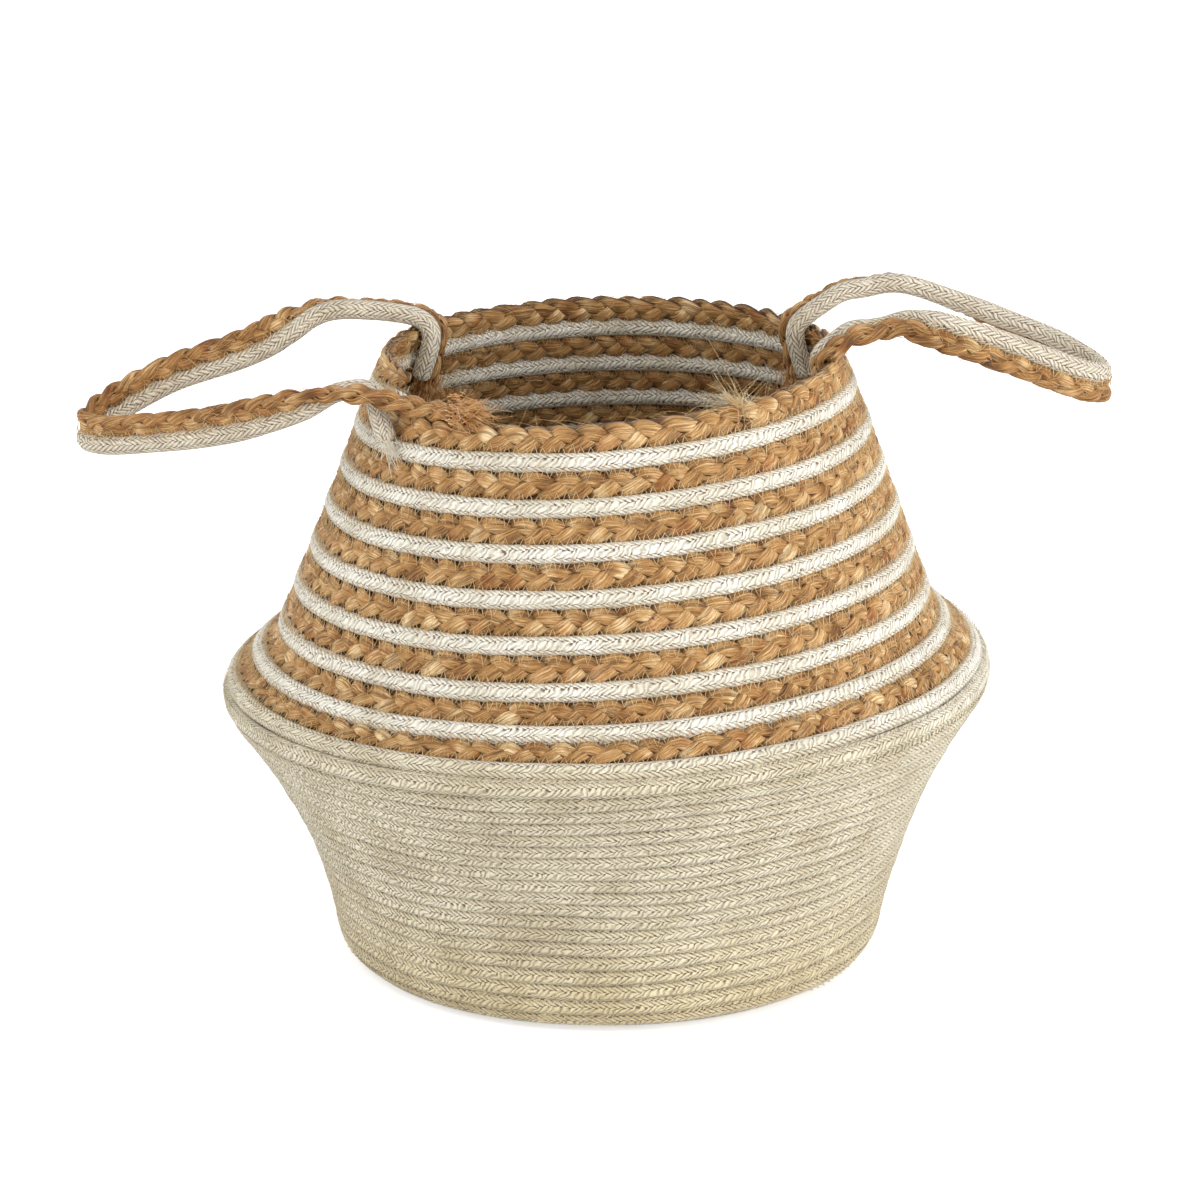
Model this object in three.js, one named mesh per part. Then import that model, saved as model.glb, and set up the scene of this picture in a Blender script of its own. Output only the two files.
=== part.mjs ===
// Coiled basket: a flat cotton base and a flaring cotton wall, drawn in above the belly with alternate
// turns of cotton rope and jute braid, and two loop handles sewn to the rim.
// Millimetres, +Z up, origin at the centre of the underside. The front of the basket faces -Y.
import * as THREE from 'three';

// Strands
const ropeDiameter = 5.2; // sewn cotton rope
const ropeSlot = 6; // width that one turn of rope takes in the wall
const braidWidth = 9; // flat jute braid
const braidThickness = 5.6;
const braidSlot = 9.5; // width that one turn of braid takes in the wall
const sewnGap = 0.3; // room left between pieces that are sewn together
const rimClearance = 0.5; // room under a strand where it bends over the rim

// Base
const baseRadius = 86;
const baseThickness = 5.6;
const baseEdgeRadius = 2.6;

// Wall outline, along the middle of the wall's thickness: foot, belly, folded shoulder and neck.
// The foot is set out from the base's edge, and each point above the belly from the one before it.
const wallFootHeight = 3.3;
const footCornerOut = 11;
const footCornerHeight = 4.4;
const wallStartOut = 12;
const wallStartHeight = 17;
const wallWaistRadius = 106.8;
const wallWaistHeight = 58.5;
const bellyRadius = 134.6;
const bellyHeight = 100.5;
const foldOut = 2.8; // from the belly to the corner of the fold
const foldRise = 6;
const foldIn = 4.8; // from that corner to the outer edge of the shoulder
const foldEndRise = 3.3;
const shoulderIn = 14.2; // across the shoulder
const shoulderRise = 12.2;
const neckBendIn = 3; // from the shoulder to the bend at the foot of the neck
const neckBendRise = 2.8;
const neckStartIn = 1.2; // from that bend to the neck's straight part
const neckStartRise = 4.8;
const neckSlopeShare = 0.38; // how much the neck draws in for each millimetre of its height

// Turns, counted from where the stripes start
const stripeRise = 9; // length along the outline from the belly to the first turn of braid
const stripeStartAngle = 20; // degrees, counter-clockwise from +X
const braidStartTurn = 0.13; // where the braid's thin start shows
const spliceTurn = 7.786; // where the wall's braid ends and the rim's begins
const braidEndTurn = 8.522;
const rimTurns = 1; // the last turn of braid, with no rope above it
const braidTaperTurns = 0.05; // the stretch over which the braid thins to its end
const braidEndShare = 0.55; // how thick the braid still is there
const wallLean = 5; // rise of the wall's high side from the belly up, and fall of its low side
const wallLeanAngle = 20; // degrees, counter-clockwise from +X

// Handles, each a rope and a braid sewn side by side
const handleRopeDiameter = 6.8;
const handleBraidWidth = 7;
const handleBraidThickness = 5.4;
const strandGap = 0.4; // between a handle's rope and its braid
const footDepth = 14; // how far an inner foot reaches down from the middle of the rim's turn
const insideBendShare = 0.78; // how full an inner foot's bend over the rim is
const outerFootDepth = 7; // how far the outer foot reaches down from the middle of the rim's turn
const outerFootTurnShare = 0.02; // place of the outer foot past the end of the rim's turn
const outerBendShare = 0.3; // how far along the outer foot passes under the braid
const outerBendDrop = 6; // how much lower than straight it is there
const rimFootTurnShares = [0.036, 0.055, 0.075];

const leftHingeOut = 6.5; // from the rim's middle line out to the hinge line
const leftHingeRise = 6; // from the rim's top up to the hinge line, at its back end
const leftHingeDrop = 11; // from the hinge line's back end to its front end
const leftBackY = 41;
const leftFrontY = -47;
const leftReach = 98; // from the hinge line to the tip
const leftTipY = -3;
const leftTipDrop = 28.5; // from the hinge line to the tip

const rightHingeOut = 10.5;
const rightHingeRise = 14;
const rightHingeDrop = 5.5;
const rightBackY = 38;
const rightFrontY = -14;
const rightReach = 84;
const rightTipY = 1;
const rightTipDrop = 22.5;

// Resolution
const curveDivisions = 400; // for measuring a curve's length
const turnSteps = 24;
const turnSides = 5;
const handleSteps = 44;
const footSteps = 10;
const strandSides = 8;
const baseSegments = 48;
const baseEdgeSteps = 3;

const cotton = { color: 0xd9cdb8, roughness: 0.95, metalness: 0 };
const jute = { color: 0xb98a4e, roughness: 0.8, metalness: 0 };

const basket = new THREE.Group();

function addPiece(name, geometry, look) {
  const mesh = new THREE.Mesh(geometry, new THREE.MeshStandardMaterial(look));
  mesh.name = name;
  basket.add(mesh);
  return mesh;
}

// A closed tube through rings of { centre, wide, thick }: the two half axes of an oval section.
// Round ends add a small cap ring and a pole at each end; square ends close with a fan.
function tube(rings, sides, roundEnds) {
  const list = rings.slice();
  if (roundEnds) {
    list.unshift(capRing(rings[0], rings[1]));
    list.push(capRing(rings[rings.length - 1], rings[rings.length - 2]));
  }
  const positions = [];
  const index = [];
  for (const ring of list) {
    for (let k = 0; k < sides; k++) {
      const angle = (2 * Math.PI * (k + 0.5)) / sides;
      const point = ring.centre.clone();
      point.addScaledVector(ring.wide, Math.cos(angle));
      point.addScaledVector(ring.thick, Math.sin(angle));
      positions.push(point.x, point.y, point.z);
    }
  }
  for (let i = 0; i < list.length - 1; i++) {
    for (let k = 0; k < sides; k++) {
      const a = i * sides + k;
      const b = i * sides + ((k + 1) % sides);
      index.push(a, b, b + sides);
      index.push(a, b + sides, a + sides);
    }
  }
  const startPole = endPole(rings[0], rings[1], roundEnds);
  const stopPole = endPole(rings[rings.length - 1], rings[rings.length - 2], roundEnds);
  positions.push(startPole.x, startPole.y, startPole.z, stopPole.x, stopPole.y, stopPole.z);
  const startIndex = list.length * sides;
  const last = (list.length - 1) * sides;
  for (let k = 0; k < sides; k++) {
    const next = (k + 1) % sides;
    index.push(startIndex, next, k);
    index.push(startIndex + 1, last + k, last + next);
  }
  const geometry = new THREE.BufferGeometry();
  geometry.setAttribute('position', new THREE.Float32BufferAttribute(positions, 3));
  geometry.setIndex(index);
  if (signedVolume(geometry) < 0) {
    flipFaces(geometry);
  }
  return geometry;
}

// Direction out of the tube at a ring, seen from its inner neighbour
function outward(ring, inner) {
  return ring.centre.clone().sub(inner.centre).normalize();
}

function capRing(ring, inner) {
  const reach = ring.thick.length() * Math.SQRT1_2;
  return {
    centre: ring.centre.clone().addScaledVector(outward(ring, inner), reach),
    wide: ring.wide.clone().multiplyScalar(Math.SQRT1_2),
    thick: ring.thick.clone().multiplyScalar(Math.SQRT1_2),
  };
}

function endPole(ring, inner, roundEnds) {
  const pole = ring.centre.clone();
  if (roundEnds) {
    pole.addScaledVector(outward(ring, inner), ring.thick.length());
  }
  return pole;
}

function signedVolume(geometry) {
  const position = geometry.getAttribute('position');
  const index = geometry.getIndex();
  const a = new THREE.Vector3();
  const b = new THREE.Vector3();
  const c = new THREE.Vector3();
  let volume = 0;
  for (let i = 0; i < index.count; i += 3) {
    a.fromBufferAttribute(position, index.getX(i));
    b.fromBufferAttribute(position, index.getX(i + 1));
    c.fromBufferAttribute(position, index.getX(i + 2));
    volume += a.dot(b.cross(c)) / 6;
  }
  return volume;
}

function flipFaces(geometry) {
  const index = geometry.getIndex();
  for (let i = 0; i < index.count; i += 3) {
    const kept = index.getX(i + 1);
    index.setX(i + 1, index.getX(i + 2));
    index.setX(i + 2, kept);
  }
}

// Wall outline, from the base's edge up to the rim, measured by its length
const pairSlot = ropeSlot + braidSlot;
const ropeRadius = ropeDiameter / 2;
const neckAngle = Math.atan(neckSlopeShare);
const neckLength = pairSlot * braidEndTurn; // more than the turns can use
const wallFootRadius = (baseRadius + sewnGap + ropeRadius) / Math.cos(Math.PI / turnSteps);
const wallFoot = new THREE.Vector2(wallFootRadius, wallFootHeight);
const footCorner = new THREE.Vector2(baseRadius + footCornerOut, footCornerHeight);
const wallStart = new THREE.Vector2(baseRadius + wallStartOut, wallStartHeight);
const wallWaist = new THREE.Vector2(wallWaistRadius, wallWaistHeight);
const belly = new THREE.Vector2(bellyRadius, bellyHeight);
const fold = new THREE.Vector2(belly.x + foldOut, belly.y + foldRise);
const shoulderOuter = new THREE.Vector2(fold.x - foldIn, fold.y + foldEndRise);
const shoulderInner = new THREE.Vector2(shoulderOuter.x - shoulderIn, shoulderOuter.y + shoulderRise);
const neckBend = new THREE.Vector2(shoulderInner.x - neckBendIn, shoulderInner.y + neckBendRise);
const neckStart = new THREE.Vector2(neckBend.x - neckStartIn, neckBend.y + neckStartRise);
const neckEnd = new THREE.Vector2(
  neckStart.x - neckLength * Math.sin(neckAngle),
  neckStart.y + neckLength * Math.cos(neckAngle),
);
const outline = new THREE.CurvePath();
outline.add(new THREE.QuadraticBezierCurve(wallFoot, footCorner, wallStart));
outline.add(new THREE.QuadraticBezierCurve(wallStart, wallWaist, belly));
outline.add(new THREE.QuadraticBezierCurve(belly, fold, shoulderOuter));
outline.add(new THREE.LineCurve(shoulderOuter, shoulderInner));
outline.add(new THREE.QuadraticBezierCurve(shoulderInner, neckBend, neckStart));
outline.add(new THREE.LineCurve(neckStart, neckEnd));
for (const curve of outline.curves) {
  curve.arcLengthDivisions = curveDivisions;
}
const outlineLength = outline.getLength();
const bellyLength = outline.getCurveLengths()[1];
const stripeStart = bellyLength + stripeRise;

// The wall at a length along its outline and an angle in radians, with its upward and outward directions
function wallAt(length, angle) {
  const share = Math.min(Math.max(length / outlineLength, 0), 1);
  const flat = outline.getPointAt(share);
  const along = outline.getTangentAt(share);
  const rise = Math.min(Math.max(length / bellyLength, 0), 1);
  const lean = wallLean * rise * Math.cos(angle - THREE.MathUtils.degToRad(wallLeanAngle));
  const cos = Math.cos(angle);
  const sin = Math.sin(angle);
  return {
    centre: new THREE.Vector3(flat.x * cos, flat.x * sin, flat.y + lean),
    up: new THREE.Vector3(along.x * cos, along.x * sin, along.y),
    out: new THREE.Vector3(along.y * cos, along.y * sin, -along.x),
  };
}

// Turns are counted from the start of the stripes and climb counter-clockwise seen from above.
// Over the first turn the braid's slot opens from nothing to its full width.
function turnAngle(turn) {
  return THREE.MathUtils.degToRad(stripeStartAngle) + 2 * Math.PI * turn;
}

function braidOpening(turn) {
  const share = Math.min(Math.max(turn, 0), 1);
  return braidSlot * (1 - (1 - share) ** 2);
}

function stripeBottom(turn) {
  if (turn < 1) {
    return stripeStart + ropeSlot * turn;
  }
  const whole = Math.floor(turn);
  const part = turn - whole;
  return stripeStart + ropeSlot * (part + 1) + braidOpening(part) + pairSlot * (whole - 1);
}

function ropeLength(turn) {
  return stripeBottom(turn) + braidOpening(turn) + ropeSlot / 2;
}

function braidLength(turn) {
  return stripeBottom(turn) + braidOpening(turn) / 2;
}

// Rings stand at the same angles in every turn, so that the turns' flat sides lie against each other
function windTurns(from, to, lengthAt, halfWidthAt, halfThicknessAt) {
  const turns = [from];
  for (let step = Math.ceil(from * turnSteps + 0.5); step <= to * turnSteps - 0.5; step++) {
    turns.push(step / turnSteps);
  }
  turns.push(to);
  return turns.map((turn) => {
    const place = wallAt(lengthAt(turn), turnAngle(turn));
    return {
      centre: place.centre,
      wide: place.up.multiplyScalar(halfWidthAt(turn)),
      thick: place.out.multiplyScalar(halfThicknessAt(turn)),
    };
  });
}

// Least gap of a wound tube to its own next turn, on its rings and halfway between them
function printLeastGap(name, rings) {
  const points = [];
  for (let i = 1; i < rings.length - 2; i++) {
    const middle = rings[i].centre.clone().lerp(rings[i + 1].centre, 0.5);
    points.push({ at: rings[i].centre, half: rings[i].wide.length() });
    points.push({ at: middle, half: rings[i].wide.length() });
  }
  let least = Infinity;
  for (let i = 0; i < points.length; i++) {
    for (let j = i + turnSteps; j < Math.min(i + 3 * turnSteps, points.length); j++) {
      least = Math.min(least, points[i].at.distanceTo(points[j].at) - points[i].half - points[j].half);
    }
  }
  console.log(name, 'least gap to itself', least.toFixed(2), 'mm');
}

const cutGapTurns = sewnGap / (2 * Math.PI * bellyRadius);
const wallTurns = Math.floor((ropeLength(0) / ropeSlot) * turnSteps) / turnSteps;
const ropeEndTurn = braidEndTurn - rimTurns;

function halfRope() {
  return ropeRadius;
}

function braidShare(turn) {
  return Math.max(braidOpening(turn) / braidSlot, 0);
}

function halfBraidWidth(turn) {
  return (braidWidth / 2) * braidShare(turn) * taper(turn);
}

function halfBraidThickness(turn) {
  return (braidThickness / 2) * Math.sqrt(braidShare(turn)) * taper(turn);
}

// The braid thins out in its last few centimetres, where its end is tucked under the left handle
function taper(turn) {
  const share = Math.min((braidEndTurn - turn) / braidTaperTurns, 1);
  return braidEndShare + (1 - braidEndShare) * share;
}

function wallRopeLength(turn) {
  return ropeLength(0) + ropeSlot * turn;
}

// Base: a flat round coil, with an eased edge
function makeBase() {
  const profile = new THREE.Path();
  const low = baseEdgeRadius;
  const high = baseThickness - baseEdgeRadius;
  profile.moveTo(0, 0);
  profile.lineTo(baseRadius - baseEdgeRadius, 0);
  profile.absarc(baseRadius - baseEdgeRadius, low, baseEdgeRadius, -Math.PI / 2, 0, false);
  profile.absarc(baseRadius - baseEdgeRadius, high, baseEdgeRadius, 0, Math.PI / 2, false);
  profile.lineTo(0, baseThickness);
  const geometry = new THREE.LatheGeometry(profile.getPoints(baseEdgeSteps), baseSegments);
  geometry.rotateX(Math.PI / 2);
  addPiece('base_coil', geometry, cotton);
}

function makeWall() {
  const wallRope = windTurns(-wallTurns, -cutGapTurns, wallRopeLength, halfRope, halfRope);
  addPiece('lower_wall_rope', tube(wallRope, turnSides, false), cotton);
  printLeastGap('lower_wall_rope', wallRope);

  const stripeRope = windTurns(cutGapTurns, ropeEndTurn, ropeLength, halfRope, halfRope);
  addPiece('shoulder_rope', tube(stripeRope, turnSides, false), cotton);
  printLeastGap('shoulder_rope', stripeRope);

  const braidStop = spliceTurn - cutGapTurns;
  const braid = windTurns(braidStartTurn, braidStop, braidLength, halfBraidWidth, halfBraidThickness);
  addPiece('shoulder_braid', tube(braid, turnSides, false), jute);
  printLeastGap('shoulder_braid', braid);

  const rimStart = spliceTurn + cutGapTurns;
  const rim = windTurns(rimStart, braidEndTurn, braidLength, halfBraidWidth, halfBraidThickness);
  addPiece('rim_braid', tube(rim, turnSides, false), jute);
}

const rimMiddleTurn = braidEndTurn - rimTurns / 2;
const rimPlace = wallAt(braidLength(rimMiddleTurn), turnAngle(rimMiddleTurn));
const rimRadius = Math.hypot(rimPlace.centre.x, rimPlace.centre.y);

// The rim's turn of braid at a point beside or under the handles
function rimAt(x, y) {
  const part = (Math.atan2(y, x) - turnAngle(0)) / (2 * Math.PI);
  const turn = part + Math.floor(braidEndTurn - part);
  return wallAt(braidLength(turn), turnAngle(turn));
}

// A handle's band along its route: its middle line, and the side on which the braid lies.
// The roll turns that side from the left of the path, seen from above, upward.
function handleBand(route) {
  const points = route.map((stop) => new THREE.Vector3(...stop.at));
  const path = new THREE.CatmullRomCurve3(points, false, 'centripetal');
  const lastStop = points.length - 1;
  const stopDivisions = Math.ceil((2 * curveDivisions) / lastStop);
  path.arcLengthDivisions = stopDivisions * lastStop;
  const lengths = path.getLengths();
  const stopShares = points.map((point, i) => lengths[i * stopDivisions] / path.getLength());
  return (share) => {
    const centre = path.getPointAt(share);
    const along = path.getTangentAt(share);
    let i = 0;
    while (i < lastStop - 1 && share > stopShares[i + 1]) {
      i += 1;
    }
    const part = THREE.MathUtils.smoothstep(share, stopShares[i], stopShares[i + 1]);
    const roll = THREE.MathUtils.degToRad(THREE.MathUtils.lerp(route[i].roll, route[i + 1].roll, part));
    const left = new THREE.Vector3(-along.y, along.x, 0).normalize();
    const over = new THREE.Vector3().crossVectors(along, left);
    const side = left.multiplyScalar(Math.cos(roll)).addScaledVector(over, Math.sin(roll));
    return { centre, side, flat: new THREE.Vector3().crossVectors(along, side) };
  };
}

// A hinge line is lower at its front end than at its back end
function hingeHeightAt(handle, y) {
  const share = (handle.backY - y) / (handle.backY - handle.frontY);
  return handle.hingeHeight - handle.hingeDrop * share;
}

// The loops' routes come from shares of the reach, of the way from the tip to the foot, and of the drop,
// with a roll in degrees at each stop
function handleRoute(handle) {
  return handle.routeShares.map(([outShare, footShare, dropShare], i) => {
    const footY = footShare > 0 ? handle.backY : handle.frontY;
    const x = handle.hingeX + handle.side * handle.reach * outShare;
    const y = handle.tipY + Math.abs(footShare) * (footY - handle.tipY);
    return { at: [x, y, hingeHeightAt(handle, y) - handle.tipDrop * dropShare], roll: handle.rolls[i] };
  });
}

function bandRings(band, offset, halfWidth, halfThickness) {
  const rings = [];
  for (let i = 0; i <= handleSteps; i++) {
    const place = band(i / handleSteps);
    rings.push({
      centre: place.centre.addScaledVector(place.side, offset),
      wide: place.side.clone().multiplyScalar(halfWidth),
      thick: place.flat.multiplyScalar(halfThickness),
    });
  }
  return rings;
}

const halfHandleRope = handleRopeDiameter / 2;
const halfHandleBraid = handleBraidWidth / 2;
const halfHandleBraidThickness = handleBraidThickness / 2;
const ropeOffset = halfHandleRope + strandGap / 2;
const braidOffset = halfHandleBraid + strandGap / 2;

function makeHandle(handle) {
  const band = handleBand(handleRoute(handle));
  const rope = bandRings(band, -ropeOffset, halfHandleRope, halfHandleRope);
  addPiece(handle.name + '_rope', tube(rope, strandSides, true), cotton);
  const braid = bandRings(band, braidOffset, halfHandleBraid, halfHandleBraidThickness);
  addPiece(handle.name + '_braid', tube(braid, strandSides, true), jute);
}

// A sewn foot: one strand from the hinge line to its end, with its wide side along the hinge line
function addFoot(name, points, halfWidth, halfThickness, look) {
  const path = new THREE.CatmullRomCurve3(points, false, 'centripetal');
  const rings = [];
  for (let i = 0; i <= footSteps; i++) {
    const share = i / footSteps;
    const along = path.getTangentAt(share);
    const wide = new THREE.Vector3(0, 1, 0).addScaledVector(along, -along.y).normalize();
    rings.push({
      centre: path.getPointAt(share),
      wide: wide.clone().multiplyScalar(halfWidth),
      thick: wide.cross(along).multiplyScalar(halfThickness),
    });
  }
  addPiece(name, tube(rings, strandSides, true), look);
}

// How far the rim's flat facets lie inside its round line
const flatSag = rimRadius * (1 - Math.cos(Math.PI / turnSteps));

function footStart(handle, y, halfThickness) {
  const inward = -handle.side * (2 * halfThickness + sewnGap);
  return new THREE.Vector3(handle.hingeX + inward, y, hingeHeightAt(handle, y));
}

function shifted(place, upward, outwardBy) {
  return place.centre.clone().addScaledVector(place.up, upward).addScaledVector(place.out, outwardBy);
}

// Over the rim and down its inner side
function insideFootPoints(handle, y, halfThickness) {
  const rimX = handle.side * Math.sqrt(rimRadius ** 2 - y ** 2);
  const rim = rimAt(rimX, y);
  const lift = braidWidth / 2 + halfThickness + rimClearance;
  const inset = braidThickness / 2 + halfThickness + sewnGap + flatSag;
  return [
    footStart(handle, y, halfThickness),
    shifted(rim, lift, 0),
    shifted(rim, lift * insideBendShare, -inset * insideBendShare),
    shifted(rim, 0, -inset),
    shifted(rim, -footDepth, -inset),
  ];
}

function makeInsideFeet(handle, name, footY, braidSide) {
  const ropeY = footY - braidSide * ropeOffset;
  const braidY = footY + braidSide * braidOffset;
  const rope = insideFootPoints(handle, ropeY, halfHandleRope);
  addFoot(name + '_rope', rope, halfHandleRope, halfHandleRope, cotton);
  const braid = insideFootPoints(handle, braidY, halfHandleBraidThickness);
  addFoot(name + '_braid', braid, halfHandleBraid, halfHandleBraidThickness, jute);
}

// The left handle's front foot: its braid lies along the rim, over the step where the rim's turn ends,
// and its rope passes under the braid and goes down outside the rim
function makeLeftFrontFoot(handle) {
  const ropeY = handle.frontY + ropeOffset;
  const outset = braidThickness / 2 + halfHandleRope + sewnGap;
  const ropeTurn = braidEndTurn - rimTurns + outerFootTurnShare;
  const ropeRow = wallAt(braidLength(ropeTurn), turnAngle(ropeTurn));
  const ropeStart = footStart(handle, ropeY, halfHandleRope);
  const ropeSeat = shifted(ropeRow, 0, outset);
  const ropeBend = ropeStart.clone().lerp(ropeSeat, outerBendShare);
  ropeBend.z -= outerBendDrop;
  const rope = [ropeStart, ropeBend, shifted(ropeRow, -outerFootDepth, outset)];
  addFoot('left_front_foot_rope', rope, halfHandleRope, halfHandleRope, cotton);

  const braidY = handle.frontY - braidOffset;
  const braid = [footStart(handle, braidY, halfHandleBraidThickness)];
  for (const turnShare of rimFootTurnShares) {
    const turn = braidEndTurn - rimTurns + turnShare;
    const row = wallAt(braidLength(turn), turnAngle(turn));
    braid.push(shifted(row, braidWidth / 2 + halfHandleBraidThickness + rimClearance, 0));
  }
  addFoot('left_front_foot_braid', braid, halfHandleBraid, halfHandleBraidThickness, jute);
}

const leftHandle = {
  name: 'left_handle',
  side: -1,
  hingeX: -(rimRadius + leftHingeOut),
  hingeHeight: rimAt(-rimRadius, 0).centre.z + braidWidth / 2 + leftHingeRise,
  hingeDrop: leftHingeDrop,
  backY: leftBackY,
  frontY: leftFrontY,
  reach: leftReach,
  tipY: leftTipY,
  tipDrop: leftTipDrop,
  routeShares: [
    [0, 1, 0],
    [0.06, 1, -0.01],
    [0.16, 1, 0.01],
    [0.43, 0.82, 0.4],
    [0.73, 0.52, 0.63],
    [0.93, 0.25, 0.9],
    [1, 0, 1],
    [0.94, -0.22, 0.97],
    [0.73, -0.5, 0.79],
    [0.43, -0.77, 0.51],
    [0.18, -0.98, 0.16],
    [0.06, -1, 0.02],
    [0, -1, 0],
  ],
  rolls: [180, 180, 170, 95, 90, 90, 90, 90, 90, 90, 125, 170, 180],
};

const rightHandle = {
  name: 'right_handle',
  side: 1,
  hingeX: rimRadius + rightHingeOut,
  hingeHeight: rimAt(rimRadius, 0).centre.z + braidWidth / 2 + rightHingeRise,
  hingeDrop: rightHingeDrop,
  backY: rightBackY,
  frontY: rightFrontY,
  reach: rightReach,
  tipY: rightTipY,
  tipDrop: rightTipDrop,
  routeShares: [
    [0, 1, 0],
    [0.06, 1, -0.07],
    [0.16, 0.99, -0.09],
    [0.34, 0.92, 0.12],
    [0.6, 0.74, 0.43],
    [0.86, 0.43, 0.74],
    [1, 0, 1],
    [0.9, -0.85, 0.82],
    [0.57, -1.55, 0.24],
    [0.32, -1.7, -0.1],
    [0.13, -1.15, -0.16],
    [0.06, -1, -0.06],
    [0, -1, 0],
  ],
  rolls: [0, 0, -5, -20, -35, -55, -85, -90, -85, -60, -15, 0, 0],
};

makeBase();
makeWall();
makeHandle(leftHandle);
makeHandle(rightHandle);
makeInsideFeet(leftHandle, 'left_back_foot', leftBackY, 1);
makeLeftFrontFoot(leftHandle);
makeInsideFeet(rightHandle, 'right_back_foot', rightBackY, 1);
makeInsideFeet(rightHandle, 'right_front_foot', rightFrontY, -1);

basket.updateMatrixWorld(true);
export default basket;
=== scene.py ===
# Coiled basket of braided cotton rope and plaited jute, with two loop handles, in metres, +Z up.
import math

import bmesh
import bpy
import numpy as np
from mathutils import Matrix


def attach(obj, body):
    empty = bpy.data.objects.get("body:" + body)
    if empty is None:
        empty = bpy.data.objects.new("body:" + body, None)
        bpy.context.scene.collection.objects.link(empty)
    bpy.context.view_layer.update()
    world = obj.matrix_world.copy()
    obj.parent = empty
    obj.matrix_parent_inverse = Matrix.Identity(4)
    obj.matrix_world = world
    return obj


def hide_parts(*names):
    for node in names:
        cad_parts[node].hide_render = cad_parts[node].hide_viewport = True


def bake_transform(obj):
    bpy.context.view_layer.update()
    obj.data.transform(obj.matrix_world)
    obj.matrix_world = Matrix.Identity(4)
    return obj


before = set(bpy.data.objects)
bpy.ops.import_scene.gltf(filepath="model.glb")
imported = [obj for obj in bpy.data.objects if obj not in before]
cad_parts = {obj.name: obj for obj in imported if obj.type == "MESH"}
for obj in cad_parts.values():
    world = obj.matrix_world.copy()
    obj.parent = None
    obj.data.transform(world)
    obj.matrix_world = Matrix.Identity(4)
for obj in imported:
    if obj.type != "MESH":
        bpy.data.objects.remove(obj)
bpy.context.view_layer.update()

# Cotton rope of the base, the wall and the stripes: one length of tubular braid of soft cotton yarn. It coils
# out flat from the middle of the base, climbs the wall counter-clockwise seen from above, and goes on between
# the turns of jute braid, each turn sewn to the last. Sizes are in millimetres until a mesh is laid down.
mm = 0.001


def linear(code):
    channels = [int(code[i:i + 2], 16) / 255 for i in (0, 2, 4)]
    return (*[c / 12.92 if c <= 0.04045 else ((c + 0.055) / 1.055) ** 2.4 for c in channels], 1)


# An input is a plain value, a socket, or a node, which gives its first output
def add_node(tree, kind, inputs=None, **settings):
    node = tree.nodes.new("ShaderNode" + kind)
    for name, value in settings.items():
        setattr(node, name, value)
    for socket, value in (inputs or {}).items():
        if isinstance(value, bpy.types.Node):
            value = value.outputs[0]
        if isinstance(value, bpy.types.NodeSocket):
            tree.links.new(value, node.inputs[socket])
        else:
            node.inputs[socket].default_value = value
    return node


def bare_material(name):
    material = bpy.data.materials.new(name)
    material.use_nodes = True
    material.node_tree.nodes.clear()
    return material, material.node_tree


# Braided cotton rope: a matt off-white cover, soft and a little hairy. The yarns cross in chevrons along it,
# pale on the yarn, with brown-grey painted shade in the pits where a yarn dives and in the lines between the
# yarns, painted stronger below the belly. Below the belly the cotton is creamier, and it yellows towards the
# base. The line share is how dark the painted shade in the lines between the yarns is, against the pits, and
# the drift share is how far the chevrons wander. The lint is drawn coarser than the real one, to show.
first_column = 0.36
chevron_slope = 1.35
drift_size = 5.263
lint_size = 0.7143
deep_pit_size = 2.381
patch_size = 18.18
cream_heights = (114, 108)
yellow_heights = (48, 2)
yarn_relief = 0.5


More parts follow.
